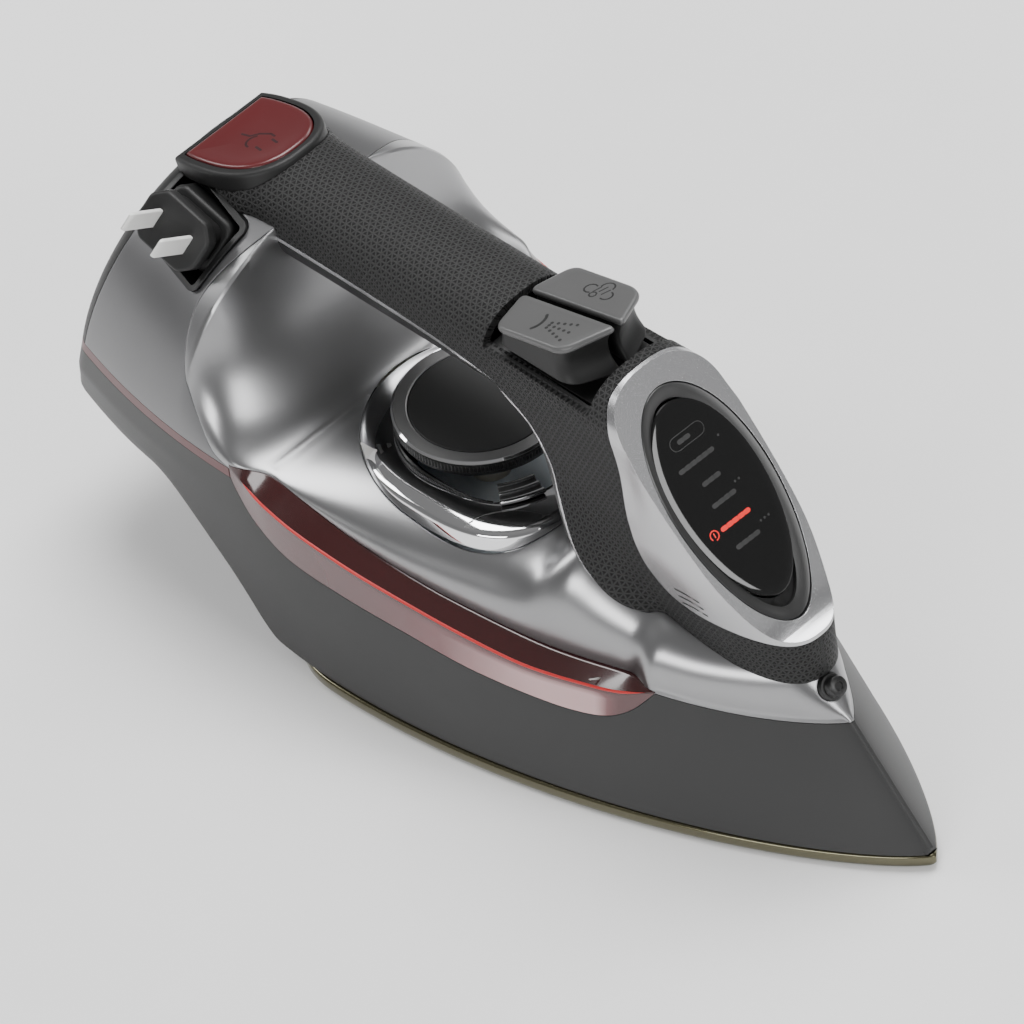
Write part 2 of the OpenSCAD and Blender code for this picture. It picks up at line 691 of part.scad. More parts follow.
floor_z = 45.4;
drum_z = floor_z + 0.8;
drum_h = 24;
module reel_axle() {
    color([0.7, 0.7, 0.72]) translate([reel_x, 0, floor_z]) {
        cylinder(r = 4, h = 36);
        cylinder(r = 9, h = 0.5);
    }
}
module reel_drum() {
    color([0.85, 0.83, 0.78]) translate([reel_x, 0, drum_z]) difference() {
        union() {
            cylinder(r = reel_r, h = 2);
            cylinder(r = 13, h = drum_h);
            translate([0, 0, drum_h - 2]) cylinder(r = reel_r, h = 2);
        }
        translate([0, 0, -1]) cylinder(r = 4.06, h = 40);
    }
}
module wound_cord() {
    color([0.08, 0.08, 0.08]) translate([reel_x, 0, drum_z + 2.2]) rotate_extrude()
        translate([13.2, 0]) square([reel_r - 16, drum_h - 4.4]);
}
module reel_spring() {
    turns = 5;
    n = 24 * turns;
    spiral = function(d) [for (i = [0:n]) let(a = 15 * i, r = 6 + 9 * i / n + d)
        [r * cos(a), r * sin(a)]];
    color([0.5, 0.52, 0.55]) translate([reel_x, 0, drum_z + drum_h + 0.6]) linear_extrude(5)
        polygon(concat(spiral(0), back_to_front(spiral(0.8))));
}
module reel_contacts() {
    color([0.72, 0.45, 0.2]) for (s = [-1, 1]) translate([reel_x - 3, s * 27 - 3, drum_z + drum_h + 0.6]) {
        cube([6, 6, 1]);
        translate([2, 2, 0.9]) cube([2, 2, 8]);
    }
}
module plug_recess() {
    color([0.07, 0.07, 0.07]) one_mesh() difference() {
        intersection() {
            at_plug() translate([0, 0, -33]) linear_extrude(40) recess_plan(0);
            body_solid(-1.2);
        }
        rewind_opening();
        at_plug() translate([0, 0, -31]) linear_extrude(60) recess_plan(-1.8);
        at_plug() translate([0, 0, -40]) cylinder(r = 5.2, h = 20);
    }
}
module cord_grommet() {
    color([0.1, 0.1, 0.1]) at_plug() translate([0, 0, -34.4]) difference() {
        union() {
            translate([0, 0, 3.6]) cylinder(r = 7, h = 2);
            cylinder(r = 5, h = 4);
        }
        translate([0, 0, -1]) cylinder(r = cord_d / 2 + 0.35, h = 20);
    }
}
module plug_body() {
    color([0.1, 0.1, 0.1]) at_plug() {
        translate([0, 0, -5]) linear_extrude(5) rounded_rect(25, 18, 5);
        translate([0, 0, -12]) linear_extrude(7.1) rounded_rect(20, 13, 4);
        translate([0, 0, -20]) linear_extrude(8.1) rounded_rect(24, 18, 4);
        translate([0, 0, -25]) cylinder(r = 4.4, h = 5.1);
    }
}
module plug_blades() {
    color([0.85, 0.85, 0.82]) at_plug() for (s = [-1, 1])
        translate([s * 6.35 - 0.75, -3.175, 0.05]) cube([1.5, 6.35, 17.6]);
}
module cord_lead() {
    color([0.08, 0.08, 0.08]) at_plug() translate([0, 0, -62]) cylinder(r = cord_d / 2, h = 36.9);
}
module case_screws() {
    color([0.6, 0.6, 0.62]) for (p = [[-138, 26], [-138, -26], [-124, 38], [-124, -38]])
        translate([p[0], p[1], under_z(p[0]) - 0.6]) cylinder(r = 3, h = 0.5, $fn = 32);
}

soleplate();
heater_block();
heating_element();
chamber_cover();
thermostat();
thermal_fuse();
skirt();
upper_body();
window_right();
window_left();
water_tank();
steam_valve();
spray_nozzle();
spray_tube();
spray_pump();
steam_pump();
fill_neck();
rear_hood();
hood_stripe();
heel_cover();
heel_feet();
grip_shell();
grip_trim();
grip_underside();
button_frame();
display_bezel();
display_frame();
display_glass();
display_board();
control_board();
dial_plate();
dial_knob();
dial_ring();
dial_cap();
dial_shaft();
steam_slider();
spray_button();
spray_spring();
steam_button();
steam_spring();
rewind_surround();
rewind_button();
rewind_spring();
reel_axle();
reel_drum();
reel_spring();
reel_contacts();
wound_cord();
plug_recess();
cord_grommet();
plug_body();
plug_blades();
cord_lead();
fill_door();
case_screws();
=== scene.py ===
"""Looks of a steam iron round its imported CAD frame. Shapes are worked out in millimetres."""
import math

import bmesh
import bpy
import numpy as np
from mathutils import Matrix, Vector
from mathutils.bvhtree import BVHTree


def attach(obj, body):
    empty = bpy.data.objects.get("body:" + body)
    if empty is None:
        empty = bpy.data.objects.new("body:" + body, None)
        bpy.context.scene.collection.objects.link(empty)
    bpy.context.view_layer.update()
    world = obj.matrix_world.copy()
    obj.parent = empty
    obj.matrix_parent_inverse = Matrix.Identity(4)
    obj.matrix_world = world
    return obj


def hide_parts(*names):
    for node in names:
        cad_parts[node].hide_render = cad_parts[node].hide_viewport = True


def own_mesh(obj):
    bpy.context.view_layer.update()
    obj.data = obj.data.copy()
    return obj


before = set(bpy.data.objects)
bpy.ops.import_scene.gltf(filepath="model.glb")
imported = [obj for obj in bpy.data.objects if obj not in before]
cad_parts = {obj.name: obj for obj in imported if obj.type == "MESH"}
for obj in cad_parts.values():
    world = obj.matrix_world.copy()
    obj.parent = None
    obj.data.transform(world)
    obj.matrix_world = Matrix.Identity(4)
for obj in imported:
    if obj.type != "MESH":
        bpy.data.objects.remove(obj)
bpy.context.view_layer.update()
scene = bpy.context.scene
MM = 0.001
SHARP = math.radians(32)


# ---------- camera, light and floor ----------

VIEW_AZIMUTH, VIEW_ELEVATION, VIEW_ROLL = 51.467, 43.581, 8.886     # degrees
VIEW_LENS = 705.34              # millimetres, on a 36 mm sensor
TIP = (0.155, 0, 0)             # the iron's tip
FROM_TIP = (-0.1245, 0.1037, 5.877)     # from the tip to the camera: right, up and back in its view


def make_camera():
    data = bpy.data.cameras.new("camera")
    data.lens = VIEW_LENS
    data.sensor_width = 36
    data.clip_end = 50
    camera = bpy.data.objects.new("camera", data)
    scene.collection.objects.link(camera)
    facing = turn("Z", VIEW_AZIMUTH) @ turn("X", 90 - VIEW_ELEVATION) @ turn("Z", -VIEW_ROLL)
    camera.matrix_world = Matrix((shift(*TIP) @ facing @ shift(*FROM_TIP)).tolist())
    scene.camera = camera


def area_light(name, place, target, size, power):
    data = bpy.data.lights.new(name, "AREA")
    data.shape = "RECTANGLE"
    data.size, data.size_y = size
    data.energy = power
    light = bpy.data.objects.new(name, data)
    scene.collection.objects.link(light)
    light.location = place
    light.rotation_euler = (Vector(target) - Vector(place)).to_track_quat("-Z", "Y").to_euler()


def make_studio():
    world = bpy.data.worlds.new("studio")
    scene.world = world
    world.use_nodes = True
    nodes, links = world.node_tree.nodes, world.node_tree.links
    coords = nodes.new("ShaderNodeTexCoord")
    split = nodes.new("ShaderNodeSeparateXYZ")
    links.new(coords.outputs["Generated"], split.inputs[0])
    greys = ((0.08, 0.32), (0.35, 0.22), (0.62, 0.2), (0.8, 0.24), (1.0, 0.27))
    sky = [(0.0, (0.55, 0.55, 0.56))] + [(place, (grey,) * 3) for place, grey in greys]
    links.new(ramp(world.node_tree, split.outputs["Z"], sky), nodes["Background"].inputs["Color"])
    nodes["Background"].inputs["Strength"].default_value = 1.0
    area_light("overhead", (-0.25, 0.35, 1.3), (0, 0, 0.05), (0.9, 0.7), 22)
    area_light("side", (0.5, -1.35, 0.75), (0, 0, 0.06), (0.9, 0.5), 13)
    area_light("front", (1.3, 0.1, 0.8), (0.05, 0, 0.05), (0.5, 0.8), 9)
    area_light("rear", (-1.2, -0.5, 0.9), (-0.05, 0, 0.06), (0.35, 0.9), 9)
    area_light("left", (-0.2, 1.4, 0.9), (0, 0, 0.05), (1.2, 0.5), 8)
    bpy.ops.mesh.primitive_plane_add(size=60, location=(0, 0, -0.0004))
    floor = bpy.context.object
    floor.name = "floor"
    floor.data.materials.append(moulded("floor_paint", 0.88, 0.6, grain=60, bump=0.02, vary=0.01))


# ---------- materials ----------


def new_material(name):
    material = bpy.data.materials.new(name)
    material.use_nodes = True
    tree = material.node_tree
    return material, tree, tree.nodes["Principled BSDF"]


def noise(tree, scale):
    node = tree.nodes.new("ShaderNodeTexNoise")
    node.inputs["Scale"].default_value = scale
    node.inputs["Detail"].default_value = 2
    coords = tree.nodes.new("ShaderNodeTexCoord")
    tree.links.new(coords.outputs["Object"], node.inputs["Vector"])
    return node.outputs["Fac"]


def ramp(tree, factor, stops):
    """Colour by factor, through stops of (place, colour)."""
    node = tree.nodes.new("ShaderNodeValToRGB")
    elements = node.color_ramp.elements
    elements[0].position, elements[1].position = stops[0][0], stops[-1][0]
    for place, _ in stops[1:-1]:
        elements.new(place)
    for element, (_, colour) in zip(elements, stops):
        element.color = (*colour, 1)
    tree.links.new(factor, node.inputs[0])
    return node.outputs[0]


def remap(tree, value, low, high, start=0.0, end=1.0):
    node = tree.nodes.new("ShaderNodeMapRange")
    for name, number in zip(("From Min", "From Max", "To Min", "To Max"), (start, end, low, high)):
        node.inputs[name].default_value = number
    tree.links.new(value, node.inputs["Value"])
    return node.outputs[0]


def math_node(tree, operation, a, b=0.0, c=0.0):
    node = tree.nodes.new("ShaderNodeMath")
    node.operation = operation
    for socket, value in zip(node.inputs, (a, b, c)):
        if isinstance(value, (int, float)):
            socket.default_value = value
        else:
            tree.links.new(value, socket)
    return node.outputs[0]


def bump_normal(tree, height, distance, strength=1.0, normal=None):
    node = tree.nodes.new("ShaderNodeBump")
    node.inputs["Distance"].default_value = distance
    node.inputs["Strength"].default_value = strength
    tree.links.new(height, node.inputs["Height"])
    if normal is not None:
        tree.links.new(normal, node.inputs["Normal"])
    return node.outputs[0]


def soft_edge(tree, radius):
    """A normal that rounds sharp edges over a small radius."""
    node = tree.nodes.new("ShaderNodeBevel")
    node.samples = 4
    node.inputs["Radius"].default_value = radius
    return node.outputs[0]


def moulded(name, colour, rough, metal=0.0, coat=0.0, grain=1600, bump=0.1, vary=0.06, edge=0.0, spread=0.06,
            gloss=0.5):
    """Plastic, paint or metal with a fine grain, a slow change of tone and an uneven gloss.

    colour is a grey or (red, green, blue), and edge is the radius in metres that sharp edges seem to have.
    """
    if isinstance(colour, float):
        colour = (colour,) * 3
    material, tree, shader = new_material(name)
    slow = noise(tree, 22)
    fine = noise(tree, grain)
    low = tuple(c * (1 - vary) for c in colour)
    high = tuple(min(1, c * (1 + vary)) for c in colour)
    tree.links.new(ramp(tree, slow, [(0.3, low), (0.7, high)]), shader.inputs["Base Color"])
    tree.links.new(remap(tree, fine, rough - spread / 2, rough + spread / 2), shader.inputs["Roughness"])
    shader.inputs["Metallic"].default_value = metal
    shader.inputs["Specular IOR Level"].default_value = gloss
    shader.inputs["Coat Weight"].default_value = coat
    shader.inputs["Coat Roughness"].default_value = 0.06
    rounded = soft_edge(tree, edge) if edge else None
    tree.links.new(bump_normal(tree, fine, 0.00004, bump, rounded), shader.inputs["Normal"])
    return material


def grip_pattern(pitch, colour):
    """Rubber embossed with rows of small triangular pits, laid along the UV map in millimetres, with painted
    shade in the pits.
    """
    material, tree, shader = new_material("grip_rubber")
    uv = tree.nodes.new("ShaderNodeUVMap")
    uv.uv_map = "UVMap"
    split = tree.nodes.new("ShaderNodeSeparateXYZ")
    tree.links.new(uv.outputs[0], split.inputs[0])
    u, v = split.outputs["X"], split.outputs["Y"]
    walls = None
    for ku, kv in ((0.0, 1.0), (math.sqrt(3) / 2, 0.5), (-math.sqrt(3) / 2, 0.5)):
        along = math_node(tree, "MULTIPLY", u, ku / pitch)
        line = math_node(tree, "MULTIPLY_ADD", v, kv / pitch, along)
        part = math_node(tree, "FRACT", line)
        off = math_node(tree, "ABSOLUTE", math_node(tree, "SUBTRACT", part, 0.5))
        walls = off if walls is None else math_node(tree, "MAXIMUM", walls, off)
    height = remap(tree, walls, 0, 1, 0.30, 0.42)
    fine = noise(tree, 2500)
    # The pits are painted far darker than the rubber's own colour: painted shade in the recesses, besides
    # the bump.
    pit_shade = tuple(c * 0.06 for c in colour)
    tree.links.new(ramp(tree, height, [(0.1, pit_shade), (0.75, colour)]), shader.inputs["Base Color"])
    tree.links.new(remap(tree, fine, 0.52, 0.66), shader.inputs["Roughness"])
    shader.inputs["Specular IOR Level"].default_value = 0.3
    both = math_node(tree, "MULTIPLY_ADD", fine, 0.12, height)
    tree.links.new(bump_normal(tree, both, 0.0009, 0.9), shader.inputs["Normal"])
    return material


def red_window():
    """Tinted clear plastic with painted light: the upper facet painted dark as if in shade, the lower one
    painted paler as if lit and palest near its front.
    """
    material, tree, shader = new_material("red_window")
    painted_facet_light = tree.nodes.new("ShaderNodeAttribute")
    painted_facet_light.attribute_name = "painted_facet_light"
    stops = [(0.0, (0.032, 0.007, 0.007)), (0.42, (0.036, 0.008, 0.008)), (0.5, (0.06, 0.016, 0.017)),
             (0.75, (0.15, 0.055, 0.058)), (1.0, (0.5, 0.32, 0.32))]
    # Slight real cloudiness from noise, plus painted light that makes the lower facet paler and its front
    # palest.
    cloud_and_painted_light = math_node(tree, "MULTIPLY_ADD", noise(tree, 60), 0.05, painted_facet_light.outputs["Fac"])
    tree.links.new(ramp(tree, cloud_and_painted_light, stops), shader.inputs["Base Color"])
    tree.links.new(remap(tree, noise(tree, 400), 0.1, 0.16), shader.inputs["Roughness"])
    shader.inputs["Coat Weight"].default_value = 0.5
    shader.inputs["Coat Roughness"].default_value = 0.05
    shader.inputs["Subsurface Weight"].default_value = 0.1
    shader.inputs["Subsurface Radius"].default_value = (0.004, 0.001, 0.001)
    return material


def glowing(name, colour, strength):
    material = moulded(name, colour, 0.4, grain=900, bump=0.02)
    shader = material.node_tree.nodes["Principled BSDF"]
    shader.inputs["Emission Color"].default_value = (*colour, 1)
    shader.inputs["Emission Strength"].default_value = strength
    return material


SKIRT_GREY = moulded("skirt_grey", 0.027, 0.46, grain=2600, bump=0.25, edge=0.0006, gloss=0.35)
SILVER = moulded("silver_lacquer", (0.30, 0.30, 0.305), 0.29, metal=0.92, coat=0.12, grain=3200, bump=0.05,
                 vary=0.03, edge=0.0006, spread=0.04)
SATIN = moulded("satin_lacquer", (0.15, 0.15, 0.153), 0.36, metal=0.75, grain=3200, bump=0.08, vary=0.03,
                edge=0.0006)
BEZEL_SILVER = moulded("bezel_silver", (0.50, 0.50, 0.51), 0.27, metal=0.95, grain=3200, bump=0.01,
                       vary=0.02, edge=0.0002, spread=0.02)
CHROME = moulded("chrome_plating", (0.80, 0.80, 0.81), 0.05, metal=1.0, grain=500, bump=0.02, vary=0.01,
                 spread=0.02)
STRIPE_RED = moulded("stripe_red", (0.085, 0.02, 0.022), 0.38, bump=0.08)
BLACK = moulded("black_plastic", 0.007, 0.38, grain=2400, bump=0.2, edge=0.0004)
BLACK_SOFT = moulded("black_satin", 0.010, 0.5, grain=2600, bump=0.2, gloss=0.35)
RUBBER = moulded("black_rubber", 0.01, 0.62, grain=1800, bump=0.35)
BUTTON_GREY = moulded("button_grey", 0.085, 0.38, metal=0.2, grain=2400, bump=0.15)
BUTTON_DARK = moulded("button_side", 0.011, 0.5, grain=2400, bump=0.2, edge=0.0005, gloss=0.3)
REWIND_RED = moulded("rewind_red", (0.075, 0.0045, 0.006), 0.33, coat=0.3, bump=0.08)
ENGRAVED_RED = moulded("engraved_red", (0.012, 0.002, 0.003), 0.5, bump=0.08)
SOLE_OLIVE = moulded("sole_glaze", (0.10, 0.092, 0.052), 0.16, metal=0.75, coat=0.4, grain=1400, bump=0.06,
                     spread=0.05)
FRAME_GREY = moulded("frame_grey", 0.055, 0.3, metal=0.6, grain=2600)
GLASS_BLACK = moulded("display_gloss", 0.006, 0.06, coat=0.3, grain=600, bump=0.01, spread=0.02)
RING_GRAIN = moulded("grained_ring", 0.15, 0.42, metal=0.7, grain=3800, bump=0.7, vary=0.04)
INK_DIM = moulded("dim_marks", 0.022, 0.4, grain=900, bump=0.02)
INK_DARK = moulded("dark_marks", 0.006, 0.5, grain=900, bump=0.02)
INK_WHITE = moulded("white_marks", (0.75, 0.74, 0.72), 0.45, grain=900, bump=0.02)
LIT_RED = glowing("lit_marks", (0.6, 0.012, 0.008), 0.75)
# The crease bead glows faintly though it is no lamp: a painted highlight of light along the window's crease.
CREASE_GLINT_RED = glowing("painted_crease_glint", (0.42, 0.012, 0.012), 0.1)
BLADE = moulded("blade_nickel", (0.90, 0.90, 0.88), 0.32, metal=0.25, grain=1500)
CORD = moulded("cord_jacket", 0.008, 0.5, grain=1500, bump=0.25)
ALUMINIUM = moulded("cast_aluminium", (0.52, 0.52, 0.53), 0.45, metal=1.0, grain=700, bump=0.6)
STEEL = moulded("drawn_steel", (0.5, 0.5, 0.51), 0.28, metal=1.0, grain=1500, bump=0.2)
HEATED = moulded("heated_steel", (0.22, 0.19, 0.17), 0.4, metal=0.9, grain=900, bump=0.3)
NYLON = moulded("natural_nylon", (0.72, 0.70, 0.62), 0.48, grain=900, bump=0.15)
COPPER = moulded("copper_leaf", (0.75, 0.33, 0.14), 0.3, metal=1.0, grain=1500)
BOARD = moulded("solder_mask", (0.02, 0.12, 0.05), 0.35, grain=300)
TANK = moulded("clear_tank", (0.7, 0.76, 0.8), 0.12, grain=300, bump=0.05)
GRIP_RUBBER = grip_pattern(1.9, (0.025, 0.025, 0.025))
WINDOW_RED = red_window()

CAD_FINISH = [
    (ALUMINIUM, ("heater_block", "chamber_cover")),
    (HEATED, ("heating_element",)),
    (NYLON, ("thermostat", "steam_valve", "spray_tube", "spray_pump", "steam_pump", "dial_shaft",
             "reel_drum")),
    (STEEL, ("thermal_fuse", "reel_axle", "reel_spring", "case_screws")),
    (COPPER, ("reel_contacts",)),
    (TANK, ("water_tank",)),
    (BOARD, ("display_board", "control_board")),
    (BLACK_SOFT, ("fill_neck",)),
    (BLACK, ("button_frame",)),
    (RUBBER, ("cord_grommet", "heel_feet")),
    (CORD, ("wound_cord",)),
]


# ---------- mesh tools, in millimetres ----------


def mesh(name, verts, faces):
    data = bpy.data.meshes.new(name)
    data.from_pydata((np.asarray(verts, float) * MM).tolist(), [], faces)
    bm = bmesh.new()
    bm.from_mesh(data)
    bmesh.ops.remove_doubles(bm, verts=bm.verts, dist=1e-7)
    bmesh.ops.recalc_face_normals(bm, faces=bm.faces)
    bm.to_mesh(data)
    bm.free()
    piece = bpy.data.objects.new(name, data)
    scene.collection.objects.link(piece)
    return piece


def loft(name, rings, closed=False):
    """Skin rings of equal length: ends are capped, or joined to each other if closed."""
    rings = np.asarray(rings, float)
    m, n = rings.shape[:2]
    index = np.arange(m * n).reshape(m, n)
    if closed:
        index = np.vstack([index, index[:1]])
    a, b = index[:-1], np.roll(index, -1, 1)[:-1]
    c, d = np.roll(index, -1, 1)[1:], index[1:]
    faces = np.stack([a, b, c, d], -1).reshape(-1, 4).tolist()
    if not closed:
        faces += [index[0].tolist()[::-1], index[-1].tolist()]
    return mesh(name, rings.reshape(-1, 3), faces)


def move(points, matrix):
    points = np.asarray(points, float)
    return points @ matrix[:3, :3].T + matrix[:3, 3]


def shift(x=0.0, y=0.0, z=0.0):
    matrix = np.eye(4)
    matrix[:3, 3] = (x, y, z)
    return matrix


def turn(axis, degrees):
    return np.array(Matrix.Rotation(math.radians(degrees), 4, axis))


def puck(name, outline, profile, matrix=None, warp=None):
    """A solid whose plan is outline(inset). profile lists (inset, height) or (inset, height, scale)."""
    rings = []
    for inset, height, *scale in profile:
        flat = outline(inset)
        if scale:
            flat = flat.mean(0) + (flat - flat.mean(0)) * scale[0]
        rings.append(np.c_[flat, np.full(len(flat), float(height))])
    rings = np.array(rings)
    if warp:
        rings = warp(rings)
    if matrix is not None:
        rings = move(rings.reshape(-1, 3), matrix).reshape(rings.shape)
    return loft(name, rings)


def rounded_side(low, high, top, bottom=0.2, steps=5):
    """Side profile from low to high with rounded edges, as (inset, height)."""
    angles = np.linspace(0, math.pi / 2, steps + 1)
    under = [(bottom * (1 - math.sin(a)), low + bottom * (1 - math.cos(a))) for a in angles]
    over = [(top * (1 - math.cos(a)), high - top * (1 - math.sin(a))) for a in angles]
    return under + over


def boolean(target, tool, operation="DIFFERENCE", keep=False):
    modifier = target.modifiers.new("boolean", "BOOLEAN")
    modifier.solver = "MANIFOLD"
    modifier.operation = operation
    modifier.object = tool
    graph = bpy.context.evaluated_depsgraph_get()
    made = bpy.data.meshes.new_from_object(target.evaluated_get(graph))
    target.modifiers.clear()
    target.data = made
    if not keep:
        bpy.data.objects.remove(tool)
    return target


def cut(piece, *tools):
    for tool in tools:
        boolean(piece, tool)


def copy_of(piece, name):
    twin = bpy.data.objects.new(name, piece.data.copy())
    scene.collection.objects.link(twin)
    return twin


def across(*parts, span=(-80.0, 80.0)):
    """Extrude a side outline, given in parts, from one y to another."""
    outline = np.vstack(parts)
    rings = [np.c_[outline[:, 0], np.full(len(outline), y), outline[:, 1]] for y in span]
    return loft("side_cutter", rings)


def stand(outline, z0, z1, matrix=None):
    """Extrude a plan outline from z0 to z1."""
    return puck("plan_cutter", lambda _: np.asarray(outline, float), [(0, z0), (0, z1)], matrix)


def finish(piece, body, slot, material, *nodes, sharp=SHARP):
    piece.data.materials.clear()
    piece.data.materials.append(material)
    piece.data.shade_smooth()
    piece.data.set_sharp_from_angle(angle=sharp)
    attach(piece, body)
    if nodes:
        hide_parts(*nodes)


def join(name, pieces):
    """One piece from several."""
    bm = bmesh.new()
    for piece in pieces:
        bm.from_mesh(piece.data)
        bpy.data.objects.remove(piece)
    data = bpy.data.meshes.new(name)
    bm.to_mesh(data)
    bm.free()
    made = bpy.data.objects.new(name, data)
    scene.collection.objects.link(made)
    return made


def decal(name, shapes, surface, matrix, body, slot, material, thick=0.12, proud=0.05):
    """Thin marks that follow a surface. Each shape is an outline in the matrix's plane."""
    tree = BVHTree.FromObject(surface, bpy.context.evaluated_depsgraph_get())
    down = Vector(-matrix[:3, 2]).normalized()
    marks = []
    for outline in shapes:
        flat = np.asarray(outline, float)
        tops, lows = [], []
        for point in move(np.c_[flat, np.full(len(flat), 8.0)], matrix):
            hit = tree.ray_cast(Vector(point * MM), down, 0.03)[0]
            hit = Vector(point * MM) + down * 0.008 if hit is None else hit
            tops.append(np.array(hit) / MM - np.array(down) * proud)
            lows.append(np.array(hit) / MM + np.array(down) * thick)
        marks.append(loft("mark", [lows, tops]))
    finish(join(name, marks), body, slot, material)


def disc(x, y, r, count=14):
    angles = np.linspace(0, 2 * math.pi, count, endpoint=False)
    return np.c_[x + r * np.cos(angles), y + r * np.sin(angles)]


def round_plan(r, count=48, x=0.0, y=0.0):
    return lambda inset: disc(x, y, r - inset, count)


def bar(x0, y0, x1, y1, width):
    """A stroke with round ends."""
    a, b = np.array([x0, y0], float), np.array([x1, y1], float)
    heading = math.atan2(*(b - a)[::-1])
    ends = [(b, np.linspace(-90, 90, 7)), (a, np.linspace(90, 270, 7))]
    return np.array([end + width / 2 * np.array([math.cos(heading + math.radians(t)),
                    math.sin(heading + math.radians(t))]) for end, ts in ends for t in ts])


def stroke(points, width):
    """A bent stroke, as one bar for each stretch."""
    return [bar(*p, *q, width) for p, q in zip(points[:-1], points[1:])]


def arc_points(x, y, r, a0, a1, count=9):
    return [(x + r * math.cos(t), y + r * math.sin(t)) for t in np.radians(np.linspace(a0, a1, count))]


def curl(x, y, r, a0, a1, width, count=9):
    """A stroke along an arc."""
    return stroke(arc_points(x, y, r, a0, a1, count), width)


# ---------- body surface: the same rules as the CAD, with finer steps ----------

TIP_X, SOLE_HALF_W, SOLE_T, WALL = 155.0, 62.4, 4.5, 2.4
HOOD_TOP, DECK_Z = 132.0, 73.0
GRIP_HALF_W, GRIP_Z, GRIP_HALF_H = 18.3, 127.5, 15.3
DIAL_X, DIAL_TOP, DIAL_R = -23.1, 82.5, 27.0
GAP, MAX_W_X, REAR_X, RIDGE = 0.2, -33.0, -70.0, 0.79
HEEL_X, HEEL_LEAN, STRIPE_Z, STRIPE_H = -147.7, 0.318, 71.0, 3.6
BODY_HALF_W, CORNER_R, ARCH, CREASE_OUT = SOLE_HALF_W - 1, 6.0, 2.15, 1.2
POD_X, POD_NOSE, POD_HALF_W = 70.0, 47.0, 19.0
DISPLAY_SLOPE, DISPLAY_Z, DISPLAY_X = 1.26, 117.0, 75.0
DISPLAY_TILT = math.degrees(math.atan(DISPLAY_SLOPE))


def smooth(t):
    u = np.clip(t, 0, 1)
    return u * u * (3 - 2 * u)


def mix(a, b, t):
    return a + (b - a) * t


def curve(points):
    """Smooth curve through the points, with ten steps between neighbours."""
    p = np.asarray(points, float)
    out = []
    for i in range(len(p) - 1):
        a, b, c, d = p[max(0, i - 1)], p[i], p[i + 1], p[min(len(p) - 1, i + 2)]
        for t in np.arange(10) / 10:
            out.append(0.5 * (2 * b + (c - a) * t + (2 * a - 5 * b + 4 * c - d) * t * t
                              + (3 * b - a - 3 * c + d) * t ** 3))
    return np.array(out + [p[-1]])


def look(x, line):
    return np.interp(x, line[:, 0], line[:, 1])


def dz(line, height):
    return line + np.array([0, height])


SKIRT_RIM = curve([(-69, 69.2), (-66.5, 63.5), (-61, 55.5), (-49, 47.6), (-28, 43.6), (-5, 40.2),
                   (16, 36.4), (37, 34.1), (52, 33.3), (62, 34.4), (69, 38.2), (75, 45)])
CREASE = curve([(-69, 73.6), (-60, 68.4), (-45, 61.8), (-27, 57.2), (-9, 53.4), (12, 48.8), (35, 45),
                (55, 44), (67, 44.1), (75, 45.3)])
WINDOW_TOP = curve([(-69, 74.6), (-60, 73.6), (-45, 68.4), (-27, 61.8), (-8, 56.4), (10, 52.4),
                    (35, 48.3), (59, 46.6), (75, 45.6)])
NOSE_RIM = curve([(75, 45), (88, 43.5), (104, 42.3), (126, 41.5), (160, 41)])
HOOD_SEAM = curve([(-69, 73), (-76, 76), (-83, 84), (-88, 94), (-91.5, 105), (-92.5, 114), (-90, 122),
                   (-82, 133)])
BAND_LOW = curve([(130, 54), (117, 55.6), (84, 60), (66, 64.5), (53, 71), (44, 77.5), (38, 84.5),
                  (32, 94), (28, 104), (22, 113), (12, 119.5), (0, 123), (-20, 125.5), (-60, 126.5),
                  (-104, 126.5)])
BAND_TOP = curve([(49, 160), (53, 142), (57, 134), (60.5, 120), (62, 102), (65, 90), (69, 82),
                  (75, 76.5), (84, 74), (96, 73.2), (106, 72.4), (118, 71), (135, 70)])
NECK_TOP = curve([(20, DECK_Z), (30, 74.5), (38, 80), (44, 80.5), (53, 74), (66, 67.5), (84, 63),
                  (105, 60.5), (117, 58.5), (126, 50), (160, 10)])
GRIP_TOPS = curve([(-130, 131), (-124, 133.5), (-110, 139), (-97, 142.5), (-86, 142.8), (0, 142.8),
                   (70, 143)])
GRIP_WIDTHS = curve([(-130, 18), (-120, 20), (-100, 20.5), (-84, GRIP_HALF_W), (0, GRIP_HALF_W),
                     (30, 19), (70, 20.5)])
COLUMN_BACK = curve([(48, 62), (62, 60), (66, 58), (71, 53), (77.5, 44), (84.5, 38), (94, 32),
                     (104, 28), (113, 22), (119.5, 12), (130, 0)])
COLUMN_WIDTHS = curve([(48, 24), (64, 25), (71, 26.5), (77, 26), (84, 24), (94, 20.5), (104, 19),
                       (130, GRIP_HALF_W)])
DISPLAY_CUT = [(44, 156), (102.5, 82.3), (105, 79.35), (107.3, 77), (109.5, 75.3), (112, 74), (115, 73.1),
               (119, 72.4), (130, 71.5), (200, 71), (200, 200), (44, 200)]


def ogive(u):
    return np.maximum(0, 1 - np.clip(u, 0, 1) ** 1.8) ** 0.8


def ridge_x(z):
    return TIP_X - RIDGE * (z - 5)


def ridge_z(x):
    return 5 + (TIP_X - x) / RIDGE


def side_w(x, z):
    x0 = MAX_W_X - 0.7 * (np.minimum(z, 60) - 5)
    front = BODY_HALF_W * ogive((x - x0) / (ridge_x(z) - x0))
    lean_in = 0.2 * np.maximum(0, z - 45) * smooth((x + 20) / 60)
    rear = BODY_HALF_W - 13 * ((x0 - x) / 80) ** 2
    return np.where(x > x0, np.maximum(0.05, front - lean_in), rear)


def under_z(x):
    return SOLE_T + 0.2 + 38 * smooth((-60 - x) / 46)


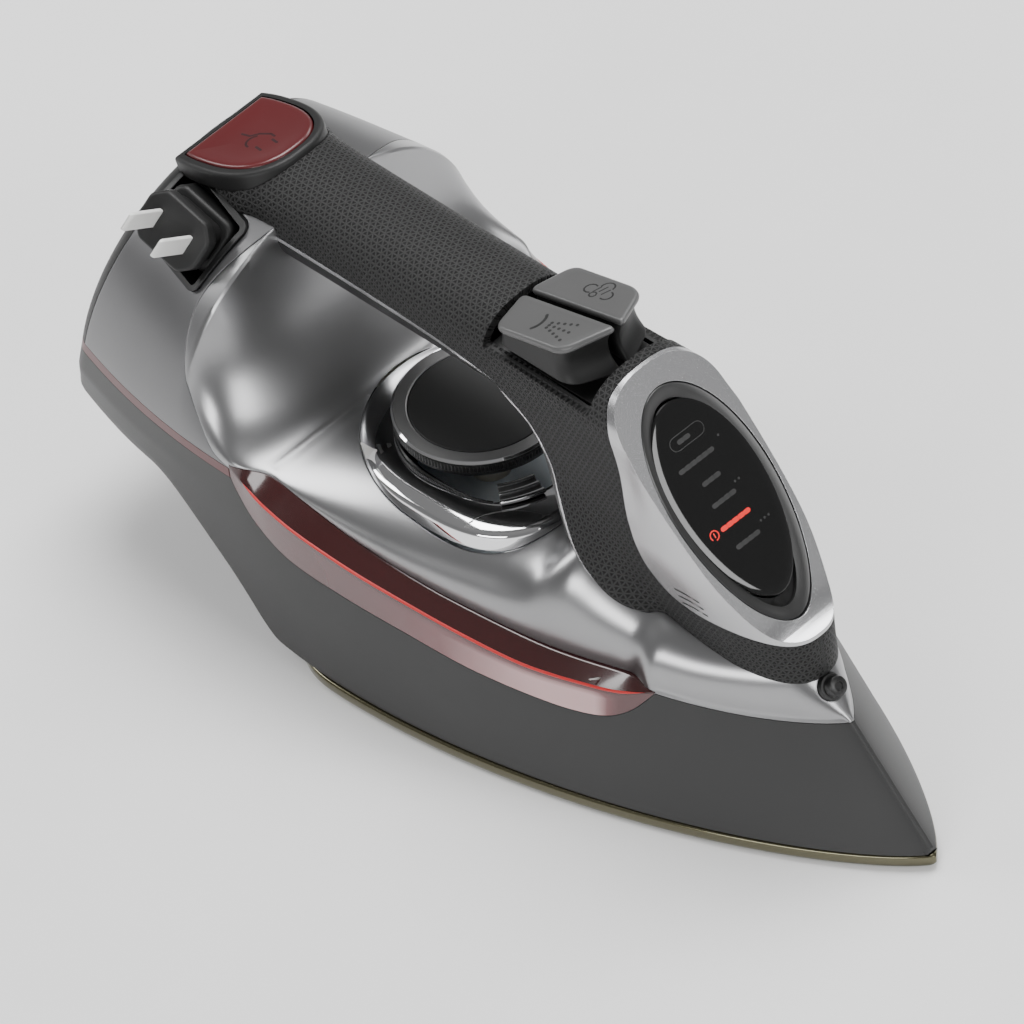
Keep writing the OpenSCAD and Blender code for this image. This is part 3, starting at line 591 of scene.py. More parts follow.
def top_z(x):
    if x < -91:
        return HOOD_TOP
    if x < 20:
        return DECK_Z + (HOOD_TOP - DECK_Z) * min(1, max(0, (-52 - x) / 39)) ** 2.3
    return min(ridge_z(x) - 0.3, look(x, NECK_TOP))


def zone(x):
    """Heights of the skirt's rim, the window's crease and the window's top."""
    rim = STRIPE_Z if x < -69 else look(x, SKIRT_RIM if x < 75 else NOSE_RIM)
    low = min(rim + GAP / 2, ridge_z(x) - 2)
    plain = x < -69 or x > 75
    run_in = 2 * smooth((x + 85) / 16) if x < -69 else 0
    mid = low + 0.6 + run_in if plain else max(low + 0.6, look(x, CREASE))
    high = mid + 0.6 if plain else max(mid + 0.6, look(x, WINDOW_TOP) - GAP / 2)
    return low, mid, high


def in_window(x):
    """How far the two facets stand out: 0 at the window's ends, 1 along its middle."""
    return smooth((x + 69) / 14) * smooth((75 - x) / 12)


def half_section(x, depth):
    """Right half of the body's outline at x, sunk by depth: foot, wall, two facets and an arched top."""
    sunk = depth + CORNER_R - math.sqrt(max(0, CORNER_R ** 2 - max(0, CORNER_R - (x - HEEL_X)) ** 2))
    foot = under_z(x) + sunk
    foot_r = mix(0.6, 9, smooth((-60 - x) / 20))
    rim, crease, window_top = zone(x)

    def half_w(z):
        return np.maximum(0.1, side_w(x, z) - sunk)

    shoulder_y = half_w(window_top) - 5.5 * in_window(x)
    peak = max(window_top + 0.8, top_z(x) - sunk)
    power = mix(ARCH, 2.6, smooth((x + 91) / 30)) + 0.2 * smooth((x - 22) / 24)
    fillet = np.radians(np.linspace(0, 90, 7))
    low = np.c_[half_w(foot + foot_r) - foot_r * (1 - np.sin(fillet)), foot + foot_r * (1 - np.cos(fillet))]
    heights = mix(foot + foot_r, rim, np.linspace(0, 1, 13)[1:])
    wall = np.c_[half_w(heights), heights]
    share = np.linspace(0, 1, 7)[1:]
    crease_y = half_w(crease) + CREASE_OUT * in_window(x)
    facet = np.c_[mix(half_w(rim), crease_y, share), mix(rim, crease, share)]
    upper = np.c_[mix(crease_y, shoulder_y, share), mix(crease, window_top, share)]
    arch = np.radians(np.linspace(0, 90, 49)[1:-1])
    rise = np.sin(arch) ** (2 / power)
    top = np.c_[shoulder_y * np.cos(arch) ** (2 / power), mix(window_top, peak, rise)]
    return np.vstack([low, wall, facet, upper, top, [[0.02, peak]]])


def body_ring(x, depth):
    half = half_section(x, depth)
    lean = HEEL_LEAN * smooth((-70 - x) / 50)
    right = np.c_[x + lean * (half[:, 1] - STRIPE_Z), half[:, 0], half[:, 1]]
    return np.vstack([right, right[::-1] * [1, -1, 1]])


def body_solid(depth=0.0):
    """The whole body as one solid, or a smaller one that leaves a wall of that depth."""
    near_heel = CORNER_R * (1 - np.cos(np.linspace(0, math.pi / 2, 9)))
    along = np.r_[near_heel, np.arange(7.5, 299, 1.5), 300, 301.4]
    along = [x for x in along if depth <= x < 301.9 - 2 * depth]
    return loft("body_solid", [body_ring(HEEL_X + x, depth) for x in along])


def sole_outline(inset):
    n = 60
    x = mix(TIP_X - 2.2 * inset, MAX_W_X, 0.5 - 0.5 * np.cos(np.pi * np.arange(n + 1) / n))
    y = np.maximum(0.3, SOLE_HALF_W * ogive((x - MAX_W_X) / (TIP_X - MAX_W_X)) - inset)
    y[0] = 0
    a = np.radians(np.linspace(0, 90, 31)[1:])
    rear = np.c_[MAX_W_X - (MAX_W_X - REAR_X - inset) * np.sin(a) ** 0.75,
                 (SOLE_HALF_W - inset) * np.maximum(0, np.cos(a)) ** 0.75]
    half = np.vstack([np.c_[x, y], rear])
    return np.vstack([half * [1, -1], half[-2:0:-1]])


# ---------- handle and display pod ----------


def signed_power(value, power):
    return np.sign(value) * np.abs(value) ** power


def grip_ring(x, d):
    t = np.linspace(0, 2 * math.pi, 96, endpoint=False)
    top, low = look(x, GRIP_TOPS), GRIP_Z - GRIP_HALF_H
    a, b = look(x, GRIP_WIDTHS) - d, (top - low) / 2 - d
    return np.c_[np.full(len(t), x), a * signed_power(np.cos(t), 0.8),
                 (top + low) / 2 + b * signed_power(np.sin(t), 0.8)]


def handle_solid(d=0.0):
    return loft("handle_solid", [grip_ring(x, d) for x in np.linspace(-128 + d, 66, 98)])


def pod_ring(z, d):
    xb = look(z, COLUMN_BACK) + 0.6 * d
    wb = look(z, COLUMN_WIDTHS) - d
    yn = 17.6 + 3.4 * smooth((z - 60) / 35) - d
    nose = np.radians(np.linspace(1.2, 90, 34))
    flank = np.linspace(0, 1, 17)[1:]
    along = mix(POD_X, xb, flank)
    back = np.radians(np.linspace(6, 84, 14))
    half = np.vstack([
        np.c_[POD_X + (POD_NOSE - d) * np.cos(nose) ** 0.8, yn * np.sin(nose) ** 0.8],
        np.c_[along, mix(mix(yn, wb, smooth(flank)), look(along, GRIP_WIDTHS) - d - 0.02,
                         smooth((z - 100) / 20))],
        np.c_[xb - 10 * np.sin(back), wb * np.cos(back) ** 0.8]])
    loop = np.vstack([[[POD_X + POD_NOSE - d, 0]], half, [[xb - 10, 0]], half[::-1] * [1, -1]])
    return np.c_[loop, np.full(len(loop), z)]


def pod_solid(d=0.0):
    return loft("pod_solid", [pod_ring(z, d) for z in np.linspace(50 + d, 129 - d, 80)])


def front_solid(d=0.0):
    solid = boolean(handle_solid(d), pod_solid(d), "UNION")
    tilt = math.radians(DISPLAY_TILT)
    sunk = np.array(DISPLAY_CUT) - np.array([d * math.sin(tilt), d * math.cos(tilt)])
    return boolean(solid, across(sunk))


def front_shell(outer, wall):
    return boolean(copy_of(outer, "front_shell"), front_solid(wall))


def plate_outline(inset, count=160):
    t = np.linspace(0, 2 * math.pi, count, endpoint=False)
    power = np.where(np.cos(t) > 0, 2 / 3, 1.0)
    return np.c_[-17 + (43 - inset) * signed_power(np.cos(t), power),
                 (39.5 - inset) * signed_power(np.sin(t), power)]


def egg(a, b, shift_x=0.0):
    """A blunt-ended oval, wider towards the display's lower end."""
    def outline(inset):
        t = np.linspace(0, 2 * math.pi, 120, endpoint=False)
        return np.c_[shift_x - (a - inset) * np.cos(t), (b - inset) * np.sin(t) * (1 + 0.1 * np.cos(t))]
    return outline


def rounded_rect(length, width, r, x=0.0):
    def outline(inset):
        radius = max(0.3, r - inset)
        along, beside = length / 2 - inset - radius, width / 2 - inset - radius
        corners = [(along, beside, 0), (-along, beside, 90), (-along, -beside, 180), (along, -beside, 270)]
        return np.array([(x + cx + radius * math.cos(t), cy + radius * math.sin(t))
                         for cx, cy, a0 in corners for t in np.radians(np.linspace(a0, a0 + 90, 9))])
    return outline


def rewind_outline(inset):
    t = np.linspace(0, 2 * math.pi, 160, endpoint=False)
    x = -6 + (23 - inset) * signed_power(np.cos(t), 0.8)
    y = (16.6 - inset) * signed_power(np.sin(t), 0.8)
    return np.c_[np.clip(x, -16 + inset, 18 - inset), y]


def unit(v):
    v = np.asarray(v, float)
    return v / np.linalg.norm(v)


def rounded_corners(corners, steps):
    """Outline through corners of (x, y, reach). Each becomes a curve that starts that far before it."""
    points = []
    for i, (x, y, reach) in enumerate(corners):
        here = np.array([x, y])
        before, after = (np.array(corners[(i + k) % len(corners)][:2]) for k in (-1, 1))
        start, end = here + reach * unit(before - here), here + reach * unit(after - here)
        points += [(1 - t) ** 2 * start + 2 * t * (1 - t) * here + t * t * end
                   for t in np.linspace(0, 1, steps)]
    return np.array(points)


PLUG_AXIS = unit([0.17, -0.79, 0.588])
PLUG_UP = unit(np.cross(PLUG_AXIS, [0.956, 0, -0.292]))
AT_PLUG = np.eye(4)
AT_PLUG[:3, 0] = np.cross(PLUG_UP, PLUG_AXIS)
AT_PLUG[:3, 1] = PLUG_UP
AT_PLUG[:3, 2] = PLUG_AXIS
AT_PLUG[:3, 3] = (-106, -39.5, 131.5)
AT_DISPLAY = shift(84, 0, DISPLAY_Z - DISPLAY_SLOPE * (84 - DISPLAY_X)) @ turn("Y", DISPLAY_TILT)
AT_REWIND = shift(-108.5, 0, 139.9) @ turn("Y", -16)
AT_FILL = shift(44, 31.5, 62) @ turn("X", -46)
AT_NOZZLE = shift(118, 0, 51) @ turn("Y", 55)
ROD_X, ROD_Y = -121.0, 13.0
RECESS_L, RECESS_W, RECESS_X = 32.0, 25.0, -0.7


def recess_plan(grow):
    return rounded_rect(RECESS_L + 2 * grow, RECESS_W + 2 * grow, 3 + grow, RECESS_X)(0)


def plug_opening():
    return stand(recess_plan(GAP), -34, 26, AT_PLUG)


def rewind_opening():
    return stand(rewind_outline(-3.2), 0, 30, AT_REWIND @ shift(z=-7))


def behind_heel(depth, z0=40.0):
    """What lies behind a plane that leans as the heel does."""
    z1 = 150.0
    x0, x1 = (HEEL_X + depth + HEEL_LEAN * (z - STRIPE_Z) for z in (z0, z1))
    return across([(x0, z0), (x1, z1), (-200, z1), (-200, z0)])


# ---------- shells of the body ----------


def paint_window_light(piece):
    """Painted light on the window: 0 on the upper facet; 0.5 at the rear of the lower facet, rising to 1
    near its front, where the red is painted palest.
    """
    painted_facet_light = piece.data.attributes.new("painted_facet_light", "FLOAT", "POINT")
    values = []
    for vertex in piece.data.vertices:
        x, z = vertex.co.x / MM, vertex.co.z / MM
        above = z - look(x, CREASE)
        front = float(smooth((x + 30) / 85) * smooth((66 - x) / 9))
        # Painted light: the lower facet is given a paler red as if lit, more so towards its front.
        values.append(0.3 if above > -0.25 else 0.52 + 0.48 * front * min(1, -above / 3))
    painted_facet_light.data.foreach_set("value", np.array(values, np.float32))


def make_body():
    outer = body_solid()
    inner = body_solid(WALL)
    shell = boolean(outer, inner)
    stripe_low, stripe_high = STRIPE_Z - STRIPE_H / 2, STRIPE_Z + STRIPE_H / 2
    regions = {
        "skirt": ([(-200, -5), (-200, stripe_low - GAP)], SKIRT_RIM, NOSE_RIM, [(200, 41), (200, -5)]),
        "upper_body": (WINDOW_TOP, dz(NOSE_RIM, GAP), [(200, 41), (200, 200), (-82, 200)],
                       HOOD_SEAM[::-1] + [GAP, 0]),
        "rear_hood": ([(-200, stripe_high + GAP), (-69, stripe_high + GAP)], HOOD_SEAM,
                      [(-82, 200), (-200, 200)]),
        "hood_stripe": ([(-200, stripe_low), (-69.4, stripe_low)],
                        [(-69.4, stripe_high), (-200, stripe_high)]),
    }
    made = {name: boolean(copy_of(shell, name + "_look"), across(*parts), "INTERSECT")
            for name, parts in regions.items()}
    window = (dz(SKIRT_RIM, GAP), dz(WINDOW_TOP, -GAP)[::-1])
    for name, span in (("window_right", (-80, -22)), ("window_left", (22, 80))):
        made[name] = boolean(copy_of(shell, name + "_look"), across(*window, span=span), "INTERSECT")
        # Paint light onto the window's lower facet.
        paint_window_light(made[name])
    heel = boolean(copy_of(shell, "heel_cover_look"), behind_heel(5.2, stripe_high + GAP), "INTERSECT")
    made["heel_cover"] = heel
    bpy.data.objects.remove(shell)

    cut(made["skirt"], stand(np.clip(sole_outline(7), [-64, -80], [200, 80]), -1, 11))
    deck = made["upper_body"]
    cut(deck, stand(plate_outline(-GAP), 60, 100), stand(disc(0, 0, 8.2, 64), -8, 12, AT_FILL),
        stand(disc(0, 0, 4.4, 48), -15, 15, AT_NOZZLE))
    hood = made["rear_hood"]
    boolean(hood, behind_heel(5.4))
    for piece in (hood, heel):
        cut(piece, plug_opening(), rewind_opening())

    finishes = {"skirt": ("dark_grey_plastic", SKIRT_GREY), "upper_body": ("silver_paint", SILVER),
                "rear_hood": ("satin_silver", SATIN), "hood_stripe": ("stripe_red", STRIPE_RED),
                "heel_cover": ("black_plastic", BLACK_SOFT), "window_right": ("red_window", WINDOW_RED),
                "window_left": ("red_window", WINDOW_RED)}
    for name, (slot, material) in finishes.items():
        finish(made[name], "iron_body", slot, material, name)
    return made


def make_crease_lines():
    """The bright line where the window's two facets meet, as a slim bead that glows faintly: a painted
    highlight, not a lamp.
    """
    for side, name in ((-1, "right"), (1, "left")):
        rings = []
        for x in np.linspace(-66, 72.5, 180):
            mid = zone(x)[1]
            y = side * (float(side_w(x, mid)) + CREASE_OUT * float(in_window(x)) - 0.16)
            size = 0.42 * float(smooth((x + 66) / 8) * smooth((73.5 - x) / 8)) + 0.05
            t = np.linspace(0, 2 * math.pi, 10, endpoint=False)
            rings.append(np.c_[np.full(10, x), y + size * np.cos(t), mid + size * np.sin(t)])
        finish(loft("window_crease_glint_" + name, rings), "iron_body", "red_window", CREASE_GLINT_RED)


def make_sole():
    side = rounded_side(0, SOLE_T, 1.0, 1.9, 7)
    sole = puck("soleplate_look", sole_outline, side)
    for s in (-1, 1):
        for k in range(8):
            boolean(sole, stand(disc(-40 + 19 * k, s * (36 - 0.22 * k * k), 1.6, 24), -1, 7))
    for k in range(3):
        boolean(sole, stand(disc(104 + 11 * k, 0, 1.6, 24), -1, 7))
    finish(sole, "iron_body", "sole_coat", SOLE_OLIVE, "soleplate", sharp=math.radians(50))


# ---------- handle shells ----------

QUARTER = np.linspace(0, math.pi / 2, 200)


def quarter_lengths(a, b):
    """Lengths from the b end along a quarter of the grip's kind of oval, with half-axes a and b."""
    angles = QUARTER[::-1]
    steps = np.hypot(np.diff(a * np.cos(angles) ** 0.8), np.diff(b * np.sin(angles) ** 0.8))
    return np.r_[0, np.cumsum(steps)]


def grip_uv(piece):
    """Lay the map out as lengths along and round the grip, and round the pod's nose."""
    x, y, z = np.array([v.co for v in piece.data.vertices]).T / MM
    ahead = np.clip((x - POD_X) / POD_NOSE, 0, 1) ** 1.25
    beside = np.clip(np.abs(y) / POD_HALF_W, 0, 1) ** 1.25
    nose = np.interp(np.arctan2(ahead, beside + 1e-9), QUARTER, quarter_lengths(POD_NOSE, POD_HALF_W))
    u = np.where(x > POD_X, POD_X + nose, x)
    up = np.clip((z - GRIP_Z) / GRIP_HALF_H, 0, 1) ** 1.25
    out = np.clip(np.abs(y) / GRIP_HALF_W, 0, 1) ** 1.25
    round_grip = quarter_lengths(GRIP_HALF_W, GRIP_HALF_H)
    from_top = np.interp(np.arctan2(out, up + 1e-9), QUARTER, round_grip)
    v = np.where(z > GRIP_Z, from_top, round_grip[-1] + (GRIP_Z - z)) * np.sign(y)
    layer = piece.data.uv_layers.new(name="UVMap")
    corners = np.array([loop.vertex_index for loop in piece.data.loops])
    layer.data.foreach_set("uv", np.c_[u, v][corners].astype(np.float32).ravel())


def stretch(x0, x1, z0, z1):
    """A block round the stretch of handle that a piece is kept to."""
    return across([(x0, z0), (x1, z0), (x1, z1), (x0, z1)], span=(-40, 40))


def make_handle():
    outer = front_solid()
    shell = front_shell(outer, 3.0)
    keep_out = body_solid(-GAP)
    band = across(BAND_TOP[::-1], [(49, 200), (-200, 200), (-200, 126.5)], BAND_LOW[::-1])
    grip = boolean(copy_of(shell, "grip_shell_look"), band, "INTERSECT")
    boolean(grip, keep_out, keep=True)
    cut(grip, stand(rounded_rect(45.4, 50, 3, 26.3)(0), 133.4, 164), plug_opening(), rewind_opening())
    grip_uv(grip)
    finish(grip, "iron_body", "grip_rubber", GRIP_RUBBER, "grip_shell")

    under = boolean(shell, across(dz(BAND_LOW, -1.9), [(-104, 60), (60, 60)]), "INTERSECT")
    under.name = "grip_underside_look"
    boolean(under, stretch(-110, 56, 70, 150), "INTERSECT")
    boolean(under, keep_out, keep=True)
    boolean(under, plug_opening())
    finish(under, "iron_body", "black_plastic", BLACK_SOFT, "grip_underside")

    trim = front_shell(outer, 2.6)
    trim.name = "grip_trim_look"
    boolean(trim, across(dz(BAND_LOW, -0.15), dz(BAND_LOW, -1.7)[::-1]), "INTERSECT")
    boolean(trim, stretch(-84, 50, 73, 143), "INTERSECT")
    boolean(trim, keep_out, keep=True)
    finish(trim, "iron_body", "silver_paint", BEZEL_SILVER, "grip_trim")

    bezel = front_shell(outer, 2.4)
    bezel.name = "display_bezel_look"
    boolean(bezel, across(BAND_TOP + GAP, [(200, 60), (200, 200)]), "INTERSECT")
    boolean(bezel, keep_out)
    boolean(bezel, stand(egg(40.2, 19.1)(0), -20, 20, AT_DISPLAY))
    finish(bezel, "iron_body", "silver_paint", BEZEL_SILVER, "display_bezel")
    bpy.data.objects.remove(outer)
    return bezel


# ---------- display ----------


def make_display(bezel):
    ring = puck("display_frame_look", egg(40, 18.9), [(0, -3), (0, -0.4), (0.35, -0.05), (0.8, -0.1),
                (2.2, -0.75), (4.5, -1.45), (4.5, -3)], AT_DISPLAY)
    cut(ring, stand(egg(29, 13, -1.5)(0), -9, 9, AT_DISPLAY),
        stand(egg(33.4, 17.0, -1.5)(0), -2.2, -9, AT_DISPLAY))
    finish(ring, "iron_body", "button_grey", FRAME_GREY, "display_frame")
    glass = puck("display_glass_look", egg(33, 16.7, -1.5),
                 [(0, -1.9), (0, -1.1), (0.25, -0.75), (0.9, -0.55), (3, -0.42), (6, -0.32), (10, -0.24),
                  (14, -0.2)], AT_DISPLAY)
    finish(glass, "iron_body", "black_glass", GLASS_BLACK, "display_glass")

    def row(x, half, dots=0):
        """One setting: a bar of cells, and its dots beside it."""
        shapes = [bar(x, -half + 2.3 * k, x, -half + 2.3 * k + 1.3, 1.5) for k in range(int(2 * half / 2.3))]
        return shapes + [disc(x - 2.2, half + 1 + 1.6 * k, 0.42) for k in range(dots)]

    pill = arc_points(-23, 4.5, 2.1, 0, 180) + [(-25.1, y) for y in (3, 1.5, 0, -1.5, -3)]
    pill += arc_points(-23, -4.5, 2.1, 180, 360) + [(-20.9, y) for y in (-3, -1.5, 0, 1.5, 3, 4.5)]
    dim = stroke(pill, 0.3) + row(-23, 3.2)[:3] + row(-15.5, 8, 1) + row(-8.5, 3.6) + row(-1.5, 4.6, 2)
    dim += row(12.5, 5, 3)
    decal("display_dim_marks", dim, glass, AT_DISPLAY, "iron_body", "button_grey", INK_DIM, 0.05, 0.02)
    lit = row(5.5, 6.2) + curl(5.5, -9.6, 1.5, 0, 300, 0.4, 11) + [bar(4.9, -9.6, 6.1, -9.6, 0.4)]
    decal("display_lit_marks", lit, glass, AT_DISPLAY, "iron_body", "red_plastic", LIT_RED, 0.05, 0.03)

    slots = [stroke([(k - 6, 4.6 - 2.5 * k), (k - 2, 4.9 - 2.5 * k), (k + 3, 4.2 - 2.5 * k)], 0.75)
             for k in range(3)]
    for side, name in ((1, "right"), (-1, "left")):
        at_flank = shift(84, 0, 77) @ turn("X", 90 * side) @ shift(z=20)
        shapes = [shape * [1, side] for slot in slots for shape in slot]
        decal("bezel_slots_" + name, shapes, bezel, at_flank, "iron_body", "black_plastic", INK_DARK, 0.3,
              0.03)


# ---------- dial and steam slider ----------

PLATE_TOP = 76.0
RING_LOW = DIAL_TOP - 0.9
SLIDER_ARC = (-37, -17)         # degrees round the dial's axis
TEETH = 150
ARROW_TURN = -116.4


def revolve(name, profile, steps=160, grow=lambda r, k: 0.0):
    """Spin a profile of (radius, height) round the dial's axis. grow adds to a radius at step k."""
    rings = []
    for k, a in enumerate(np.linspace(0, 2 * math.pi, steps, endpoint=False)):
        grown = [(r + grow(r, k), z) for r, z in profile]
        rings.append([[DIAL_X + r * math.cos(a), r * math.sin(a), z] for r, z in grown])
    return loft(name, rings, closed=True)


def arc_block(name, r0, r1, z0, z1, a0, a1, edge=0.3):
    """A block bent round the dial's axis, with rounded top edges."""
    section = [(r0, z0), (r1, z0), (r1, z1 - edge), (r1 - 0.3 * edge, z1 - 0.3 * edge), (r1 - edge, z1),
               (r0 + edge, z1), (r0 + 0.3 * edge, z1 - 0.3 * edge), (r0, z1 - edge)]
    rings = [[[DIAL_X + r * math.cos(a), r * math.sin(a), z] for r, z in section]
             for a in np.radians(np.linspace(a0, a1, 40))]
    return loft(name, rings)


def knurl(r, k):
    """Teeth on the knob's rim, each four steps wide."""
    return 0.4 if r > 26.4 and k % 4 in (1, 2) else 0.0


def make_dial_plate():
    profile = [(0, 68.6), (0, 73.0), (0.1, 73.7), (0.5, 74.3), (1.2, 74.8), (2.4, 75.25), (4, 75.6),
               (6, 75.85), (8, 75.98), (10, 76.0), (11.5, 75.9), (12.4, 75.5), (12.4, 71)]
    plate = puck("dial_plate_look", plate_outline, profile)
    cut(plate, arc_block("slot", 33.7, 37.3, 60, 90, -40, 28, 0.1), stand(plate_outline(2.6), 60, 73.2),
        stand(disc(DIAL_X, 0, 4.4, 48), 60, 90))
    finish(plate, "iron_body", "chrome", CHROME, "dial_plate")
    return plate


def make_dial():
    base = PLATE_TOP + 0.4
    knob = revolve("dial_knob_look", [
        (3.6, base), (25.6, base), (26.1, base + 0.3), (26.2, base + 1.7), (26.35, base + 1.9),
        (26.5, base + 2.0), (26.5, base + 4.2), (26.1, base + 4.5), (24, base + 5.1), (3.6, base + 5.1)],
        4 * TEETH, knurl)
    finish(knob, "dial", "black_plastic", BLACK, "dial_knob")
    ring = revolve("dial_ring_look", [
        (22.1, RING_LOW), (25.9, RING_LOW), (DIAL_R - 0.05, RING_LOW + 0.15),
        (DIAL_R - 0.1, RING_LOW + 0.32), (DIAL_R - 0.75, DIAL_TOP - 0.04), (DIAL_R - 1.0, DIAL_TOP),
        (22.5, DIAL_TOP), (22.15, DIAL_TOP - 0.2)])
    finish(ring, "dial", "satin_silver", RING_GRAIN, "dial_ring", sharp=math.radians(20))
    edge = revolve("dial_ring_edge", [
        (DIAL_R - 0.72, RING_LOW + 0.3), (DIAL_R - 0.09, RING_LOW + 0.36), (DIAL_R - 0.05, RING_LOW + 0.42),
        (DIAL_R - 0.7, DIAL_TOP), (DIAL_R - 0.85, DIAL_TOP - 0.02)])
    finish(edge, "dial", "chrome", CHROME)
    cap = revolve("dial_cap_look", [
        (0.001, RING_LOW), (21.9, RING_LOW), (21.9, DIAL_TOP - 0.25), (21.6, DIAL_TOP - 0.05),
        (21.2, DIAL_TOP - 0.06), (14, DIAL_TOP - 0.22), (7, DIAL_TOP - 0.3), (0.001, DIAL_TOP - 0.32)], 128)
    finish(cap, "dial", "black_plastic", BLACK_SOFT, "dial_cap")


def make_slider():
    a0, a1 = SLIDER_ARC
    carrier = arc_block("slider_carrier", 34.4, 36.6, 70, 77.2, a0, a1)
    foot = arc_block("slider_foot", 32.4, 38.6, 69, 71.4, a0, a1)
    deck = arc_block("slider_deck", 32.2, 39.8, 76.4, 77.3, a0 + 0.2, a1 - 0.2)
    slider = join("steam_slider_look", [carrier, foot, deck])
    finish(slider, "slider", "black_plastic", BLACK, "steam_slider")
    ribs = [arc_block("rib", r, r + 1.5, 77.0, 78.15, a0, a1, 0.35) for r in (32, 35.4, 38.8)]
    finish(join("slider_ribs", ribs), "slider", "chrome", CHROME)


def make_dial_marks(plate):
    at_mark = shift(DIAL_X, 0, 80) @ turn("Z", ARROW_TURN)
    arrow = [(28.8, -0.6), (28.8, 0.6), (32.8, 2.3), (32.8, -2.3)]
    decal("dial_arrow", [arrow], plate, at_mark, "iron_body", "black_plastic", INK_DARK)
    decal("dial_arrow_bar", [bar(34.0, 0, 37.2, 0, 1.4)], plate, at_mark, "iron_body", "white_plastic",
          INK_WHITE)
    half_degrees = slice(2 * 293, 2 * 343)
    along = plate_outline(1.3, 720)[half_degrees]
    depth = 8.2 * np.sin(np.pi * np.linspace(0, 1, len(along))) ** 0.8
    inner = along + unit(np.array([DIAL_X, 0]) - along.mean(0)) * depth[:, None]
    pad = np.vstack([along, inner[::-1][1:-1]])
    decal("icon_pad", [pad], plate, shift(z=70), "iron_body", "button_grey", FRAME_GREY, 0.1, 0.04)


# ---------- buttons ----------

SPRING_X, SPRING_Y, SPRING_Z = 24.0, 7.5, 133.1


def key_outline(side):
    """Plan of a key's top: square along the middle, rounded outside and slanted in front."""
    corners = [(5.6, -1.4, 2.5), (9.2, -16.6, 3.6), (38.6, -16.9, 5.0), (46.2, -1.4, 1.6)]

    def outline(inset):
        middle = np.array([26.5, -8.8])
        away = rounded_corners(corners, 9) - middle
        points = middle + away * (1 - inset / np.linalg.norm(away, axis=1, keepdims=True))
        return points if side < 0 else points[::-1] * [1, -1]
    return outline


def key_height(x, y):
    """The key's top climbs forwards and towards the middle."""
    rise = 145.0 + 0.262 * (x - 8)
    return rise - 0.0035 * (np.abs(y) - 2) ** 2 - 1.2 * smooth((x - 30) / 16) * (np.abs(y) / 17) ** 2


def make_key(name, body, side):
    def lifted(rings):
        out = rings.copy()
        out[..., 2] += key_height(rings[..., 0], rings[..., 1])
        return out

    def tapered(rings):
        """From a flat foot to the cap's underside, hollowed in front."""
        out = rings.copy()
        share = rings[..., 2]
        ahead = smooth((rings[..., 0] - 30) / 12)
        top_z = key_height(rings[..., 0], rings[..., 1]) - 2.4
        out[..., 2] = mix(137.6, top_z, share)
        out[..., 0] += ahead * (1.6 * (1 - share) - 3.4 * np.sin(np.pi * share ** 0.8))
        return out

    top = puck(name + "_look", key_outline(side),
               [(2.4, -2.6), (0.5, -2.4), (0.1, -1.9), (0, -1.3), (0.15, -0.75), (0.5, -0.3), (1.0, -0.08),
                (1.6, 0), (1.6, 0, 0.8), (1.6, 0, 0.6), (1.6, 0, 0.35), (1.6, 0, 0.1)], warp=lifted)
    finish(top, body, "button_grey", BUTTON_GREY, name)
    shares = np.linspace(0, 1, 12)
    stem = puck(name + "_stem", key_outline(side), [(0.5 + 0.9 * t, t) for t in shares], warp=tapered)
    boolean(stem, stand(disc(SPRING_X, SPRING_Y * side, 4.4, 32), 130, 141))
    finish(stem, body, "black_plastic", BUTTON_DARK)
    return top


def make_keys():
    flat = shift(z=145)
    near = make_key("spray_button", "spray_key", -1)
    far = make_key("steam_button", "steam_key", 1)
    spray = curl(17.6, -9.6, 5.2, -40, 40, 1.0)
    spray += [disc(26.0 + 2.1 * k, -9.6 + row * (1.2 + 0.62 * k), 0.58)
              for row in (-1, 0, 1) for k in range(5)]
    decal("spray_icon", spray, near, flat, "spray_key", "black_plastic", INK_DARK, 0.15, 0.02)
    steam = curl(24, 9.5, 2.1, 60, 300, 0.55) + curl(28.5, 12.2, 2.3, 0, 190, 0.55)
    steam += curl(31.5, 8.8, 2.0, -110, 80, 0.55) + curl(27, 7.4, 1.2, 0, 360, 0.5)
    for k, y in enumerate((8.6, 9.4, 8.6)):
        steam.append(bar(26 + 1.8 * k, y, 26.6 + 1.9 * k, y + 2.8, 0.5))
    decal("steam_icon", steam, far, flat, "steam_key", "black_plastic", INK_DARK, 0.15, 0.02)


def make_rewind():
    surround = puck("rewind_surround_look", rewind_outline,
                    [(i - 3, z - 6.8) for i, z in rounded_side(0, 6.2, 1.5, 0.2, 6)], AT_REWIND)
    cut(surround, stand(rewind_outline(-0.4), -5.2, 5, AT_REWIND),
        stand(disc(ROD_X, ROD_Y, 2.8, 32), 100, 160))
    finish(surround, "iron_body", "black_plastic", BLACK_SOFT, "rewind_surround")
    dished = rounded_side(-3.2, 0.0, 1.3, 0.3, 7)
    dished += [(2.2, -0.02), (4.5, -0.2), (7.5, -0.38), (10.5, -0.45)]
    key = puck("rewind_button_look", rewind_outline, dished, AT_REWIND)
    finish(key, "rewind_key", "red_plastic", REWIND_RED, "rewind_button")
    rod = puck("rewind_rod", round_plan(1.8, 32, ROD_X, ROD_Y), rounded_side(73, 134.4, 0.3, 0.3, 3))
    finish(rod, "rewind_key", "black_plastic", BLACK)
    icon = stroke([(-6.0, -1.2), (-2.6, -1.0), (-0.4, 1.2), (3.2, 2.6), (5.4, 2.2)], 0.7)
    icon += curl(1.6, -2.4, 3.0, 130, 265, 0.7, 8)
    icon += [bar(6.2, 0.6, 9.0, 0.0, 0.8), bar(4.2, -4.4, 7.0, -5.0, 0.8)]
    decal("rewind_icon", icon, key, AT_REWIND, "rewind_key", "red_plastic", ENGRAVED_RED, 0.2, 0.02)


# ---------- plug ----------


